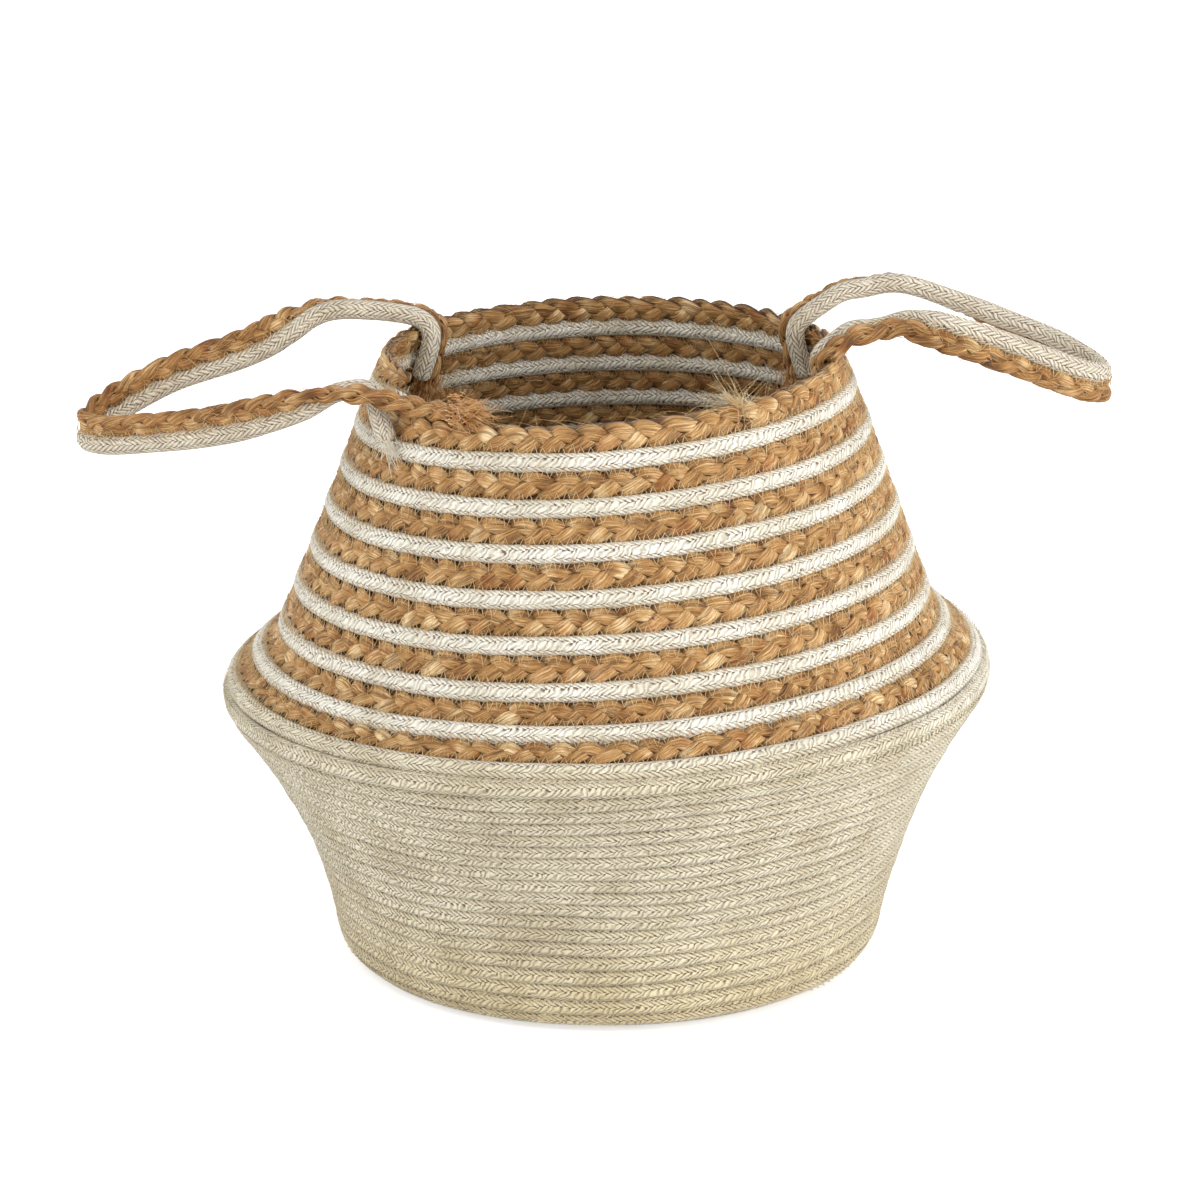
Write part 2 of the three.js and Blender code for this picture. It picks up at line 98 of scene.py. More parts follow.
def cotton_rope(name, columns_round, pitch, line_share, drift_share, pale, shaded, pit_shade, cream, yellowed):
    material, tree = bare_material(name)
    uv = add_node(tree, "UVMap", uv_map="UVMap")
    parts = add_node(tree, "SeparateXYZ", {0: uv})
    where = add_node(tree, "TexCoord").outputs["Object"]
    drift = add_node(tree, "TexNoise", {"Vector": where, "Scale": 1 / (drift_size * mm), "Detail": 2})
    off = add_node(tree, "Math", {0: drift, 1: 0.5}, operation="SUBTRACT")
    lint = add_node(tree, "TexNoise", {"Vector": where, "Scale": 1 / (lint_size * mm), "Detail": 3})
    fuzz = add_node(tree, "Math", {0: lint, 1: 0.5}, operation="SUBTRACT")

    # The chevrons zigzag from column to column round the rope, each column half a yarn on from the last
    columns = add_node(tree, "Math", {0: parts.outputs["Y"], 1: columns_round, 2: first_column},
                       operation="MULTIPLY_ADD")
    wandered = add_node(tree, "Math", {0: off, 1: 1.5 * drift_share, 2: columns}, operation="MULTIPLY_ADD")
    zig = add_node(tree, "Math", {0: wandered, 1: 1}, operation="PINGPONG")
    pitches = add_node(tree, "Math", {0: parts.outputs["X"], 1: 1 / (pitch * mm)}, operation="MULTIPLY")
    shifted = add_node(tree, "Math", {0: off, 1: 2.2 * drift_share, 2: pitches}, operation="MULTIPLY_ADD")
    phase = add_node(tree, "Math", {0: zig, 1: chevron_slope, 2: shifted}, operation="MULTIPLY_ADD")
    column = add_node(tree, "Math", {0: wandered}, operation="FLOOR")
    staggered = add_node(tree, "Math", {0: column, 1: 0.5, 2: phase}, operation="MULTIPLY_ADD")
    frayed = add_node(tree, "Math", {0: fuzz, 1: 0.35, 2: staggered}, operation="MULTIPLY_ADD")
    wave = add_node(tree, "Math", {0: frayed, 1: 0.5}, operation="PINGPONG")
    yarn = add_node(tree, "MapRange", {0: wave, 2: 0.38}, interpolation_type="SMOOTHSTEP")

    # A yarn dives at both sides of its column, and the pits there get painted shade, darker in some than in
    # others
    side = add_node(tree, "Math", {0: zig, 1: 0.5}, operation="SUBTRACT")
    far = add_node(tree, "Math", {0: side}, operation="ABSOLUTE")
    dive = add_node(tree, "MapRange", {0: far, 1: 0.22, 2: 0.46}, interpolation_type="SMOOTHSTEP")
    luck = add_node(tree, "TexNoise", {"Vector": where, "Scale": 1 / (deep_pit_size * mm), "Detail": 1})
    deep_shade = add_node(tree, "MapRange", {0: luck, 1: 0.3, 2: 0.6})
    pits = add_node(tree, "Math", {0: dive, 1: deep_shade}, operation="MULTIPLY")
    lined = add_node(tree, "Math", {0: deep_shade, 1: line_share, 2: 0.5 * line_share}, operation="MULTIPLY_ADD")
    strength = add_node(tree, "MapRange", {0: pits, 3: lined, 4: 1.6})
    between = add_node(tree, "Math", {0: 1, 1: yarn}, operation="SUBTRACT")
    place = add_node(tree, "SeparateXYZ", {0: where})
    high_cream, low_cream = cream_heights
    below = add_node(tree, "MapRange", {0: place.outputs["Z"], 1: high_cream * mm, 2: low_cream * mm})
    marked = add_node(tree, "Math", {0: below, 1: 0.18, 2: strength}, operation="MULTIPLY_ADD")
    shade = add_node(tree, "Math", {0: between, 1: marked}, operation="MULTIPLY", use_clamp=True)

    # Paler and darker patches with a speckle of lint, tinted by height, then the painted shade of the pits
    # and of the lines between the yarns
    patches = add_node(tree, "TexNoise", {"Vector": where, "Scale": 1 / (patch_size * mm), "Detail": 3})
    speckled = add_node(tree, "Math", {0: fuzz, 1: 0.9, 2: patches}, operation="MULTIPLY_ADD")
    tone = add_node(tree, "MapRange", {0: speckled, 1: 0.3, 2: 0.65})
    tint = add_node(tree, "Mix", {0: tone, 6: linear(shaded), 7: linear(pale)}, data_type="RGBA")
    wall = add_node(tree, "Mix", {0: below, 6: tint.outputs[2], 7: linear(cream)},
                    data_type="RGBA", blend_type="MULTIPLY")
    high_yellow, low_yellow = yellow_heights
    low = add_node(tree, "MapRange", {0: place.outputs["Z"], 1: high_yellow * mm, 2: low_yellow * mm})
    aged = add_node(tree, "Mix", {0: low, 6: wall.outputs[2], 7: linear(yellowed)},
                    data_type="RGBA", blend_type="MULTIPLY")
    # Painted shade: the pits and the lines between the yarns take the pit shade colour, the more so below the
    # belly
    colour = add_node(tree, "Mix", {0: shade, 6: aged.outputs[2], 7: linear(pit_shade)}, data_type="RGBA")
    dip = add_node(tree, "Math", {0: dive, 1: -0.45, 2: yarn}, operation="MULTIPLY_ADD")
    relief = add_node(tree, "Math", {0: lint, 1: 0.5, 2: dip}, operation="MULTIPLY_ADD")
    bump = add_node(tree, "Bump", {"Height": relief, "Strength": 0.8, "Distance": yarn_relief * mm})
    shader = add_node(tree, "BsdfPrincipled", {
        "Base Color": colour.outputs[2], "Normal": bump, "Roughness": 0.92, "Sheen Weight": 0.3,
        "Sheen Roughness": 0.5, "Specular IOR Level": 0.2,
    })
    add_node(tree, "OutputMaterial", {0: shader})
    return material


# Its pit shade colour is painted shade in the pits and the lines between the yarns
cotton = cotton_rope("braided_cotton_rope", columns_round=8, pitch=2.3, line_share=0.34, drift_share=0.8,
                     pale="F8F4E6", shaded="DDD5BF", pit_shade="76604F", cream="F1ECDD", yellowed="FCF5DF")

# Turns are counted from where the stripes start, at the right: below zero down the plain wall, and up from it
# through the stripes. The solids' turns have 24 straight steps each. A slot is the height that a turn takes.
turn_steps = 24
stripe_start_angle = math.radians(20)
braid_start_turn = 0.13
splice_turn = 7.786
braid_end_turn = 8.522
rim_turns = 1
rope_slot = 6
braid_slot = 9.5
pair_slot = rope_slot + braid_slot
stripe_rise = 9

# The wall's outline, as distances from the middle and heights. Its foot lies against the base's last turn.
base_radius = 86
sewn_gap = 0.3
rope_radius = 2.6
neck_slope = 0.38
outline_steps = 400
foot_radius = (base_radius + sewn_gap + rope_radius) / math.cos(math.pi / turn_steps)
foot_height = 3.3
heel_bend = (97, 4.4)
heel = (98, 17)
flare_bend = (106.8, 58.5)
belly_under = (134.6, 100.5)
belly_bend = (137.4, 106.5)
belly_over = (132.6, 109.8)
shoulder_top = (118.4, 122)
neck_bend = (115.4, 124.8)
neck_start = (114.2, 129.6)
neck_angle = math.atan(neck_slope)
neck_length = pair_slot * braid_end_turn
neck_end = (neck_start[0] - neck_length * math.sin(neck_angle),
            neck_start[1] + neck_length * math.cos(neck_angle))

# The wall is up to 5 mm higher at the right and lower at the left, and hand sewing leaves slow swells in it,
# which fade out at the base and the rim
wall_lean = 5
wall_lean_angle = math.radians(20)
swell_size = 0.6
foot_fade = 40
rim_fade = 60
belly_fade = 30


def unit(vectors):
    return vectors / np.linalg.norm(vectors, axis=1, keepdims=True)


def path_lengths(points):
    steps = np.linalg.norm(np.diff(points, axis=0), axis=1)
    return np.concatenate([[0], np.cumsum(steps)])


# The outline's curves are each pulled towards a middle corner
def bend(*corners):
    share = np.linspace(0, 1, outline_steps + 1)[:, None]
    a, b, c = [np.array(corner, float) for corner in corners]
    return (1 - share) ** 2 * a + 2 * (1 - share) * share * b + share ** 2 * c


def straight(a, b):
    share = np.linspace(0, 1, outline_steps + 1)[:, None]
    return np.array(a, float) * (1 - share) + np.array(b, float) * share


outline_parts = [
    bend((foot_radius, foot_height), heel_bend, heel),
    bend(heel, flare_bend, belly_under),
    bend(belly_under, belly_bend, belly_over),
    straight(belly_over, shoulder_top),
    bend(shoulder_top, neck_bend, neck_start),
    straight(neck_start, neck_end),
]
outline = np.concatenate([outline_parts[0]] + [part[1:] for part in outline_parts[1:]])
outline_lengths = path_lengths(outline)
outline_rise = unit(np.gradient(outline, outline_lengths, axis=0))
belly_length = sum(path_lengths(part)[-1] for part in outline_parts[:2])
stripe_start = belly_length + stripe_rise


def swell(length, angle):
    waves = (np.sin(3 * angle + length / 38 + 0.6) + 0.7 * np.sin(5 * angle - length / 29 + 2.1)
             + 0.5 * np.sin(2 * angle + length / 17))
    rim_start = stripe_start + pair_slot * (braid_end_turn - rim_turns)
    above_foot = np.clip(length / foot_fade, 0, 1)
    below_rim = np.clip((rim_start - length) / rim_fade, 0, 1)
    return swell_size * waves * above_foot * below_rim


# The wall's middle line at a length up its outline and an angle: the place, and its directions up and out.
# Below the belly the turns rise and fall together in small waves.
def wall_at(length, angle):
    angle = np.asarray(angle, float)
    below = np.clip(length / foot_fade, 0, 1) * np.clip((belly_length - length) / belly_fade, 0, 1)
    sewn_waves = 0.8 * np.sin(4 * angle + length / 18) + 0.5 * np.sin(9 * angle - length / 23 + 1)
    length = np.clip(length + below * sewn_waves, 0, outline_lengths[-1])
    radius = np.interp(length, outline_lengths, outline[:, 0])
    height = np.interp(length, outline_lengths, outline[:, 1])
    out_rise = np.interp(length, outline_lengths, outline_rise[:, 0])
    up_rise = np.interp(length, outline_lengths, outline_rise[:, 1])
    lean = wall_lean * np.clip(length / belly_length, 0, 1) * np.cos(angle - wall_lean_angle)
    cos, sin = np.cos(angle), np.sin(angle)
    place = np.stack([radius * cos, radius * sin, height + lean], axis=-1)
    up = np.stack([out_rise * cos, out_rise * sin, up_rise], axis=-1)
    out = np.stack([up_rise * cos, up_rise * sin, -out_rise], axis=-1)
    return place + out * swell(length, angle)[..., None], up, out


def turn_angle(turn):
    return stripe_start_angle + 2 * np.pi * np.asarray(turn, float)


# The first turn of braid widens slowly from nothing between two turns of rope
def braid_opening(turn):
    share = np.clip(turn, 0, 1)
    return braid_slot * (1 - (1 - share) ** 2)


# Lengths up the outline at a turn: where the stripe starts, and the middles of its rope and of its braid
def stripe_bottom(turn):
    turn = np.asarray(turn, float)
    whole = np.floor(turn)
    part = turn - whole
    first = stripe_start + rope_slot * turn
    later = stripe_start + rope_slot * (part + 1) + braid_opening(part) + pair_slot * (whole - 1)
    return np.where(turn < 1, first, later)


def rope_length(turn):
    wound = stripe_bottom(turn) + braid_opening(turn) + rope_slot / 2
    return np.where(np.asarray(turn) < 0, stripe_start + rope_slot / 2 + rope_slot * np.asarray(turn), wound)


def braid_length(turn):
    return stripe_bottom(turn) + braid_opening(turn) / 2


def add_object(name, data):
    item = bpy.data.objects.new(name, data)
    bpy.context.scene.collection.objects.link(item)
    return item


cord_sides = 10


# A cord is a grid rolled about its path: one row of faces for each step, closed to a point at both ends.
# Its UV map holds the length along it in metres, and how far round it, plus the number of the strand.
# A plaited strand also has the middle line of its braid and the measures of its depth and width, and keeps
# how far each place stands out of that braid, from 0 in its middle to 1 on its faces, for painted shade in
# the braid.
# A roundness under 1 presses the cord's section fuller and squarer.
def lay_cord(name, strands, material, sides=cord_sides, roundness=1.0):
    shaped = bmesh.new()
    for number, (centre, wide, thick, *braid) in enumerate(strands):
        rings = len(centre)
        sheet = bmesh.new()
        sheet.loops.layers.uv.new("UVMap")
        bmesh.ops.create_grid(sheet, x_segments=rings - 1, y_segments=sides, size=0.5, calc_uvs=True)
        strip = bpy.data.meshes.new("strip")
        sheet.to_mesh(strip)
        sheet.free()
        flat = np.zeros(len(strip.vertices) * 3, np.float32)
        strip.vertices.foreach_get("co", flat)
        flat = flat.reshape(-1, 3).astype(float) + 0.5
        ring = np.rint(flat[:, 0] * (rings - 1)).astype(int)
        turn = 2 * np.pi * (np.rint(flat[:, 1] * sides) % sides) / sides
        section = np.stack([np.cos(turn), np.sin(turn)], axis=1)
        section = np.sign(section) * np.abs(section) ** roundness
        section[(ring == 0) | (ring == rings - 1)] = 0
        placed = centre[ring] + wide[ring] * section[:, :1] + thick[ring] * section[:, 1:]
        strip.vertices.foreach_set("co", (placed * mm).astype(np.float32).ravel())
        if braid:
            middle, depth, edge = braid
            offset = placed - middle[ring]
            risen = np.hypot(np.sum(offset * depth[ring], axis=1), np.sum(offset * edge[ring], axis=1))
            standing = strip.attributes.new("standing", "FLOAT", "POINT")
            standing.data.foreach_set("value", risen.astype(np.float32))
        around = np.zeros(len(strip.loops) * 2, np.float32)
        layer = strip.uv_layers["UVMap"].data
        layer.foreach_get("uv", around)
        around = around.reshape(-1, 2)
        along = np.interp(around[:, 0] * (rings - 1), np.arange(rings), path_lengths(centre))
        measured = np.stack([along * mm, around[:, 1] + number], axis=1)
        layer.foreach_set("uv", measured.astype(np.float32).ravel())
        shaped.from_mesh(strip)
        bpy.data.meshes.remove(strip)
    bmesh.ops.remove_doubles(shaped, verts=shaped.verts, dist=1e-7)
    if shaped.calc_volume(signed=True) < 0:
        bmesh.ops.reverse_faces(shaped, faces=shaped.faces)
    for face in shaped.faces:
        face.smooth = True
    mesh = bpy.data.meshes.new(name)
    shaped.to_mesh(mesh)
    shaped.free()
    mesh.materials.append(material)
    return add_object(name, mesh)


# The base spirals outwards, and its last turn climbs to where the wall starts and laps a little past it. The
# plain wall has as many turns as there is room for in whole steps of the solids.
base_pitch = 5.95
base_half_wide = 3.05
base_half_thick = 2.8
base_roundness = 0.85
base_start_turn = 0.12
base_steps = 110
climb_width = 0.3
rope_lap = 5
base_turns = base_radius / base_pitch - 0.5
wall_turns = math.floor((stripe_start + rope_slot / 2) / rope_slot * turn_steps) / turn_steps
base_end_angle = turn_angle(-wall_turns) + rope_lap / foot_radius
base_wound = np.linspace(base_start_turn, base_turns + 1, int(base_turns * base_steps))
base_angle = base_end_angle - 2 * np.pi * (base_turns + 1 - base_wound)
base_out = np.stack([np.cos(base_angle), np.sin(base_angle), 0 * base_angle], axis=1)
last_turn = np.clip(base_wound - base_turns, 0, 1)
base_reach = base_pitch * (base_wound - last_turn) + (foot_radius - base_pitch * base_turns) * last_turn
base_rise = base_half_thick + (foot_height - base_half_thick) * last_turn
base_path = base_out * base_reach[:, None] + np.outer(base_rise, [0, 0, 1])
base_width = base_half_wide + climb_width * np.minimum(last_turn, 0.9)
base_flat = np.tile([0, 0, base_half_thick], (len(base_path), 1))
base = lay_cord("base_coil_rope", [(base_path, base_out * base_width[:, None], base_flat)], cotton,
                roundness=base_roundness)
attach(base, "basket")
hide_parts("base_coil")


# A slow unevenness of hand sewing along a cord, from -1 to 1, as a sum of waves of the lengths given
def unevenness(lengths, seed, *waves):
    draws = np.random.default_rng(seed).uniform(0, 2 * np.pi, len(waves))
    return sum(np.sin(2 * np.pi * lengths / wave + draw) for wave, draw in zip(waves, draws)) / len(waves)


# The wall's rope is pressed fuller than the base's, and swells out where there is braid beside it
wall_half_wide = 3.1
wall_half_thick = 2.95
wall_roundness = 0.72
stripe_fullness = 0.35
size_play = 0.12
height_play = 0.25
depth_play = 0.2
rope_steps = 210
rope_end_turn = braid_end_turn - rim_turns
rope_turns = np.linspace(-wall_turns, rope_end_turn, int((wall_turns + rope_end_turn) * rope_steps))
rope_place, rope_up, rope_out = wall_at(rope_length(rope_turns), turn_angle(rope_turns))
rope_run = path_lengths(rope_place)
striped = np.clip(rope_turns + 0.5, 0, 1)
fuller = stripe_fullness * striped
rope_half_wide = wall_half_wide + fuller + size_play * unevenness(rope_run, 1, 83, 37, 151)
rope_half_thick = wall_half_thick + fuller + size_play * unevenness(rope_run, 2, 71, 43, 127)
rope_place = rope_place + rope_up * (height_play * unevenness(rope_run, 3, 97, 163, 59))[:, None]
rope_place = rope_place + rope_out * (depth_play * unevenness(rope_run, 4, 131, 67, 211))[:, None]
rope_strand = (rope_place, rope_up * rope_half_wide[:, None], rope_out * rope_half_thick[:, None])
wall_rope = lay_cord("wall_rope", [rope_strand], cotton, roundness=wall_roundness)
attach(wall_rope, "basket")
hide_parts("lower_wall_rope", "shoulder_rope")

# Jute braid of the stripes: three flat strands of combed jute fibre, plaited, laid on edge between the turns
# of rope and sewn to them. A strand comes to the same edge again every 29 mm, so the lobes are 9.7 mm apart.
plait_repeat = 29
strand_across = 2.5
strand_depth = 1.3
strand_half_wide = 2.75
strand_half_thick = 1.5
strand_fullness = 0.12
strand_play = 0.1
strand_plumpness = 0.14
braid_steps = 350
braid_sides = 8
braid_taper_turns = 0.05
braid_end_share = 0.55
braid_play = 0.2
splice_gap_turns = 0.0004


# A strand is fullest where it crosses over the others, and pinched where it turns back at an edge. The edges
# are free in a handle, and pressed against the rope in the wall, where they get painted shade.
def plait(centre, wide, thick, seed, free_edges=0):
    run = path_lengths(centre)
    wide_share = np.linalg.norm(wide, axis=1)[:, None]
    thick_share = np.linalg.norm(thick, axis=1)[:, None]
    across_way, depth_way = unit(wide), unit(thick)
    depth_measure = depth_way / ((strand_depth + strand_half_thick) * thick_share)
    edge_measure = across_way * free_edges / ((strand_across + strand_half_wide) * wide_share)
    strands = []
    for number in range(3):
        eased = run + 2 * unevenness(run, seed, 53, 89, 31) + 0.5 * unevenness(run, seed + 5, 13, 19)
        phase = 2 * np.pi * (eased / plait_repeat + number / 3)
        across = (strand_across * np.sin(phase))[:, None] * wide_share
        depth = (-strand_depth * np.sin(2 * phase))[:, None] * thick_share
        line = centre + across_way * across + depth_way * depth
        along = unit(np.gradient(line, axis=0))
        over = unit(depth_way - along * np.sum(depth_way * along, axis=1, keepdims=True))
        beside = np.cross(over, along)
        crossing = strand_fullness * np.abs(np.sin(2 * phase))
        full = (1 + crossing + strand_play * unevenness(run, seed + 10 + number, 47, 23, 77))[:, None]
        plump = (1 + strand_plumpness * unevenness(run, seed + 20 + number, 37, 61, 17))[:, None]
        half_wide = beside * strand_half_wide * wide_share * full
        half_thick = over * strand_half_thick * thick_share * plump
        strands.append((line, half_wide, half_thick, centre, depth_measure, edge_measure))
    return strands


# Combed jute: long glossy bast fibres, and each stretch of a strand another straw, tan or orange-brown. Fine
# streaks run along the strand, with painted shade in the lines between the bundles of fibre, at the strand's
# flanks and where it dives. The streaks are drawn coarser than the real fibres, to show.
strand_twist = 55
strand_sway = 9.091
streaks_round = 30
streak_length = 7
bundles_round = 9
bundle_length = 16
tint_length = 11
fibre_relief = 0.5


def combed_jute(name, deep_shade, brown, tan, straw, pale, rust):
    material, tree = bare_material(name)
    uv = add_node(tree, "UVMap", uv_map="UVMap")
    parts = add_node(tree, "SeparateXYZ", {0: uv})
    along, around = parts.outputs["X"], parts.outputs["Y"]
    where = add_node(tree, "TexCoord").outputs["Object"]

    # Streaks of fibre and the bundles that they lie in wind slowly round the strand
    sway = add_node(tree, "TexNoise", {"Vector": where, "Scale": 1 / (strand_sway * mm), "Detail": 1})
    twist = add_node(tree, "Math", {0: along, 1: 1 / (strand_twist * mm), 2: around},
                     operation="MULTIPLY_ADD")
    swayed = add_node(tree, "Math", {0: sway, 1: 0.16, 2: twist}, operation="MULTIPLY_ADD")
    fine = add_node(tree, "Math", {0: swayed, 1: streaks_round}, operation="MULTIPLY")
    slow = add_node(tree, "Math", {0: along, 1: 1 / (streak_length * mm)}, operation="MULTIPLY")
    fibre_place = add_node(tree, "CombineXYZ", {0: slow, 1: fine})
    fibres = add_node(tree, "TexNoise", {"Vector": fibre_place, "Scale": 1, "Detail": 4, "Roughness": 0.7})
    bundle_row = add_node(tree, "Math", {0: swayed, 1: bundles_round}, operation="MULTIPLY")
    bundle_run = add_node(tree, "Math", {0: along, 1: 1 / (bundle_length * mm)}, operation="MULTIPLY")
    bundle_place = add_node(tree, "CombineXYZ", {0: bundle_run, 1: bundle_row})
    bundles = add_node(tree, "TexNoise", {"Vector": bundle_place, "Scale": 1, "Detail": 2})

    # Each stretch of each strand has its own tint, and some are rusty. Strands lie far apart in the noise.
    strand_row = add_node(tree, "Math", {0: around}, operation="FLOOR")
    strand_far = add_node(tree, "Math", {0: strand_row, 1: 17}, operation="MULTIPLY")
    lobe_run = add_node(tree, "Math", {0: along, 1: 1 / (tint_length * mm)}, operation="MULTIPLY")
    lobe_place = add_node(tree, "CombineXYZ", {0: lobe_run, 1: strand_far})
    lobes = add_node(tree, "TexNoise", {"Vector": lobe_place, "Scale": 1, "Detail": 1})
    streak = add_node(tree, "Math", {0: fibres, 1: 0.75}, operation="MULTIPLY")
    mixed = add_node(tree, "Math", {0: lobes, 1: 0.55, 2: streak}, operation="MULTIPLY_ADD")
    shade = add_node(tree, "MapRange", {0: mixed, 1: 0.49, 2: 0.79})
    ramp = add_node(tree, "ValToRGB", {0: shade})
    stops = ramp.color_ramp.elements
    stops[0].color = linear(brown)
    stops[1].color = linear(pale)
    for position, code in ((0.33, tan), (0.66, straw)):
        stops.new(position).color = linear(code)
    rusty_place = add_node(tree, "VectorMath", {0: lobe_place, 1: (31, 7, 0)}, operation="ADD")
    rusty = add_node(tree, "TexNoise", {"Vector": rusty_place, "Scale": 1, "Detail": 0})
    rusty_share = add_node(tree, "MapRange", {0: rusty, 1: 0.55, 2: 0.8, 4: 0.6})
    hue = add_node(tree, "Mix", {0: rusty_share, 6: ramp, 7: linear(rust)},
                   data_type="RGBA", blend_type="MULTIPLY")

    # Painted shade between bundles, at the flanks of a strand and where it lies sunk in the braid
    lines = add_node(tree, "MapRange", {0: bundles, 1: 0.36, 2: 0.48}, interpolation_type="SMOOTHSTEP")
    round_it = add_node(tree, "Math", {0: around}, operation="FRACT")
    from_edge = add_node(tree, "Math", {0: round_it, 1: 0.25}, operation="PINGPONG")
    flank = add_node(tree, "MapRange", {0: from_edge, 2: 0.085}, interpolation_type="SMOOTHSTEP")
    standing = add_node(tree, "Attribute", attribute_name="standing").outputs["Fac"]
    risen = add_node(tree, "MapRange", {0: standing, 1: 0.05, 2: 0.55, 3: 0.36},
                     interpolation_type="SMOOTHSTEP")
    proud = add_node(tree, "MapRange", {0: standing, 1: 0.7, 2: 0.95})
    seen = add_node(tree, "Math", {0: flank, 1: proud}, operation="MAXIMUM")
    open_share = add_node(tree, "Math", {0: seen, 1: risen}, operation="MULTIPLY")
    line_share = add_node(tree, "MapRange", {0: lines, 3: 0.55})
    light_share = add_node(tree, "Math", {0: open_share, 1: line_share}, operation="MULTIPLY")
    # Painted shade: the colour goes towards the dark shade colour between bundles, at the flanks and where
    # the strand dives
    colour = add_node(tree, "Mix", {0: light_share, 6: linear(deep_shade), 7: hue.outputs[2]}, data_type="RGBA")
    ridges = add_node(tree, "Math", {0: lines, 1: 0.5, 2: fibres}, operation="MULTIPLY_ADD")
    bump = add_node(tree, "Bump", {"Height": ridges, "Strength": 0.9, "Distance": fibre_relief * mm})
    shine = add_node(tree, "MapRange", {0: fibres, 1: 0.3, 2: 0.7, 3: 0.6, 4: 0.42})
    shader = add_node(tree, "BsdfPrincipled", {
        "Base Color": colour.outputs[2], "Normal": bump, "Roughness": shine, "Specular IOR Level": 0.3,
    })
    add_node(tree, "OutputMaterial", {0: shader})
    return material


# Its darkest colour is painted shade in the creases of the braid
jute = combed_jute("combed_jute", deep_shade="35190A", brown="63401F", tan="9E713E", straw="C2965E", pale="EFD6A8",
                   rust="DDA574")


def braid_rows(turns, seed):
    place, up, out = wall_at(braid_length(turns), turn_angle(turns))
    run = path_lengths(place)
    open_share = braid_opening(turns) / braid_slot
    tapered = np.minimum((braid_end_turn - turns) / braid_taper_turns, 1)
    end_share = braid_end_share + (1 - braid_end_share) * tapered
    place = place + out * (braid_play * unevenness(run, seed, 143, 61, 97))[:, None]
    wide_share = open_share * end_share
    thick_share = np.sqrt(open_share) * end_share
    return place, up * wide_share[:, None], out * thick_share[:, None]


braid_turns = np.linspace(braid_start_turn, splice_turn - splice_gap_turns,
                          int((splice_turn - braid_start_turn) * braid_steps))
braid = lay_cord("stripe_braid", plait(*braid_rows(braid_turns, 21), 31), jute, braid_sides)
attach(braid, "basket")
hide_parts("shoulder_braid")

# Rim: a second length of the same braid, spliced on at the front right and run on three quarters of the way
# round the mouth, standing on the last stripe. Its end is tucked under the left handle.
rim_steps = 330
rim_braid_turns = np.linspace(splice_turn + splice_gap_turns, braid_end_turn,
                              int((braid_end_turn - splice_turn) * rim_steps))
rim = lay_cord("rim_plait", plait(*braid_rows(rim_braid_turns, 23), 47), jute)
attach(rim, "basket")
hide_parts("rim_braid")

# Seam thread: one fine cotton thread, machine-sewn in zigzag from turn to turn, inside and outside. It shows
# as pale teeth that bite 2 to 3 mm into the braid, and as short ticks between the turns of plain rope.
stitch_pitch = 3.2
thread_half = 0.14
thread_sides = 3
stitch_sag = 0.35
stitch_slip = 0.13
plain_wall_end = -0.88
stripe_seam_start = -0.86

# How far the thread bites past the rope's edge, and how high it lies on the face of the braid and of the rope
bite_share = 0.42
least_bite = 1.3
most_bite_above = 2.4
most_bite_below = 3.3
braid_face = 2.75
rope_face = 2.5
rope_face_share = 0.87


# The thread runs to and fro across a seam: near and far are its reach from the line of places, across it
def zigzag(run, places, across, face, near, far, near_height, far_height, seed):
    waves = int(run[-1] / stitch_pitch)
    step = np.arange(4 * waves + 1)
    level = (1 - np.abs(step % 4 - 2) / 2)
    draws = np.random.default_rng(seed)
    bite = np.repeat(draws.uniform(0.7, 1.1, waves + 1), 4)[:len(step), None]
    slip = np.repeat(draws.uniform(-stitch_slip, stitch_slip, waves + 1), 4)[:len(step)]
    at = (step / 4 + slip * level) * stitch_pitch
    level = level[:, None]

    def here(values):
        values = np.asarray(values, float).reshape(len(run), -1)
        return np.stack([np.interp(at, run, column) for column in values.T], axis=1)

    reach = here(near) + (here(far) - here(near)) * level * bite
    sag = stitch_sag * (1 - np.abs(2 * level - 1))
    height = here(near_height) * (1 - level) + here(far_height) * level - sag
    facing = here(face)
    points = here(places) + here(across) * reach + facing * height
    along = unit(np.gradient(points, axis=0))
    wide = unit(np.cross(facing, along))
    return points, wide * thread_half, np.cross(along, wide) * thread_half


# Cotton sewing thread: cream, smooth and slightly glossy, unevenly yellowed where it runs through the jute
thread_patch = 3.846
thread_twist = 0.3333
thread_relief = 0.1


def sewing_thread(name, pale, yellowed):
    material, tree = bare_material(name)
    where = add_node(tree, "TexCoord").outputs["Object"]
    patches = add_node(tree, "TexNoise", {"Vector": where, "Scale": 1 / (thread_patch * mm), "Detail": 2})
    share = add_node(tree, "MapRange", {0: patches, 1: 0.35, 2: 0.65})
    colour = add_node(tree, "Mix", {0: share, 6: linear(yellowed), 7: linear(pale)}, data_type="RGBA")
    twist = add_node(tree, "TexNoise", {"Vector": where, "Scale": 1 / (thread_twist * mm), "Detail": 1})
    bump = add_node(tree, "Bump", {"Height": twist, "Strength": 0.5, "Distance": thread_relief * mm})
    shader = add_node(tree, "BsdfPrincipled", {
        "Base Color": colour.outputs[2], "Normal": bump, "Roughness": 0.55, "Specular IOR Level": 0.4,
    })
    add_node(tree, "OutputMaterial", {0: shader})
    return material


thread = sewing_thread("cotton_sewing_thread", pale="E3CDA2", yellowed="C7A069")
clean_thread = sewing_thread("clean_cotton_sewing_thread", pale="EDE3CC", yellowed="CDBD9C")


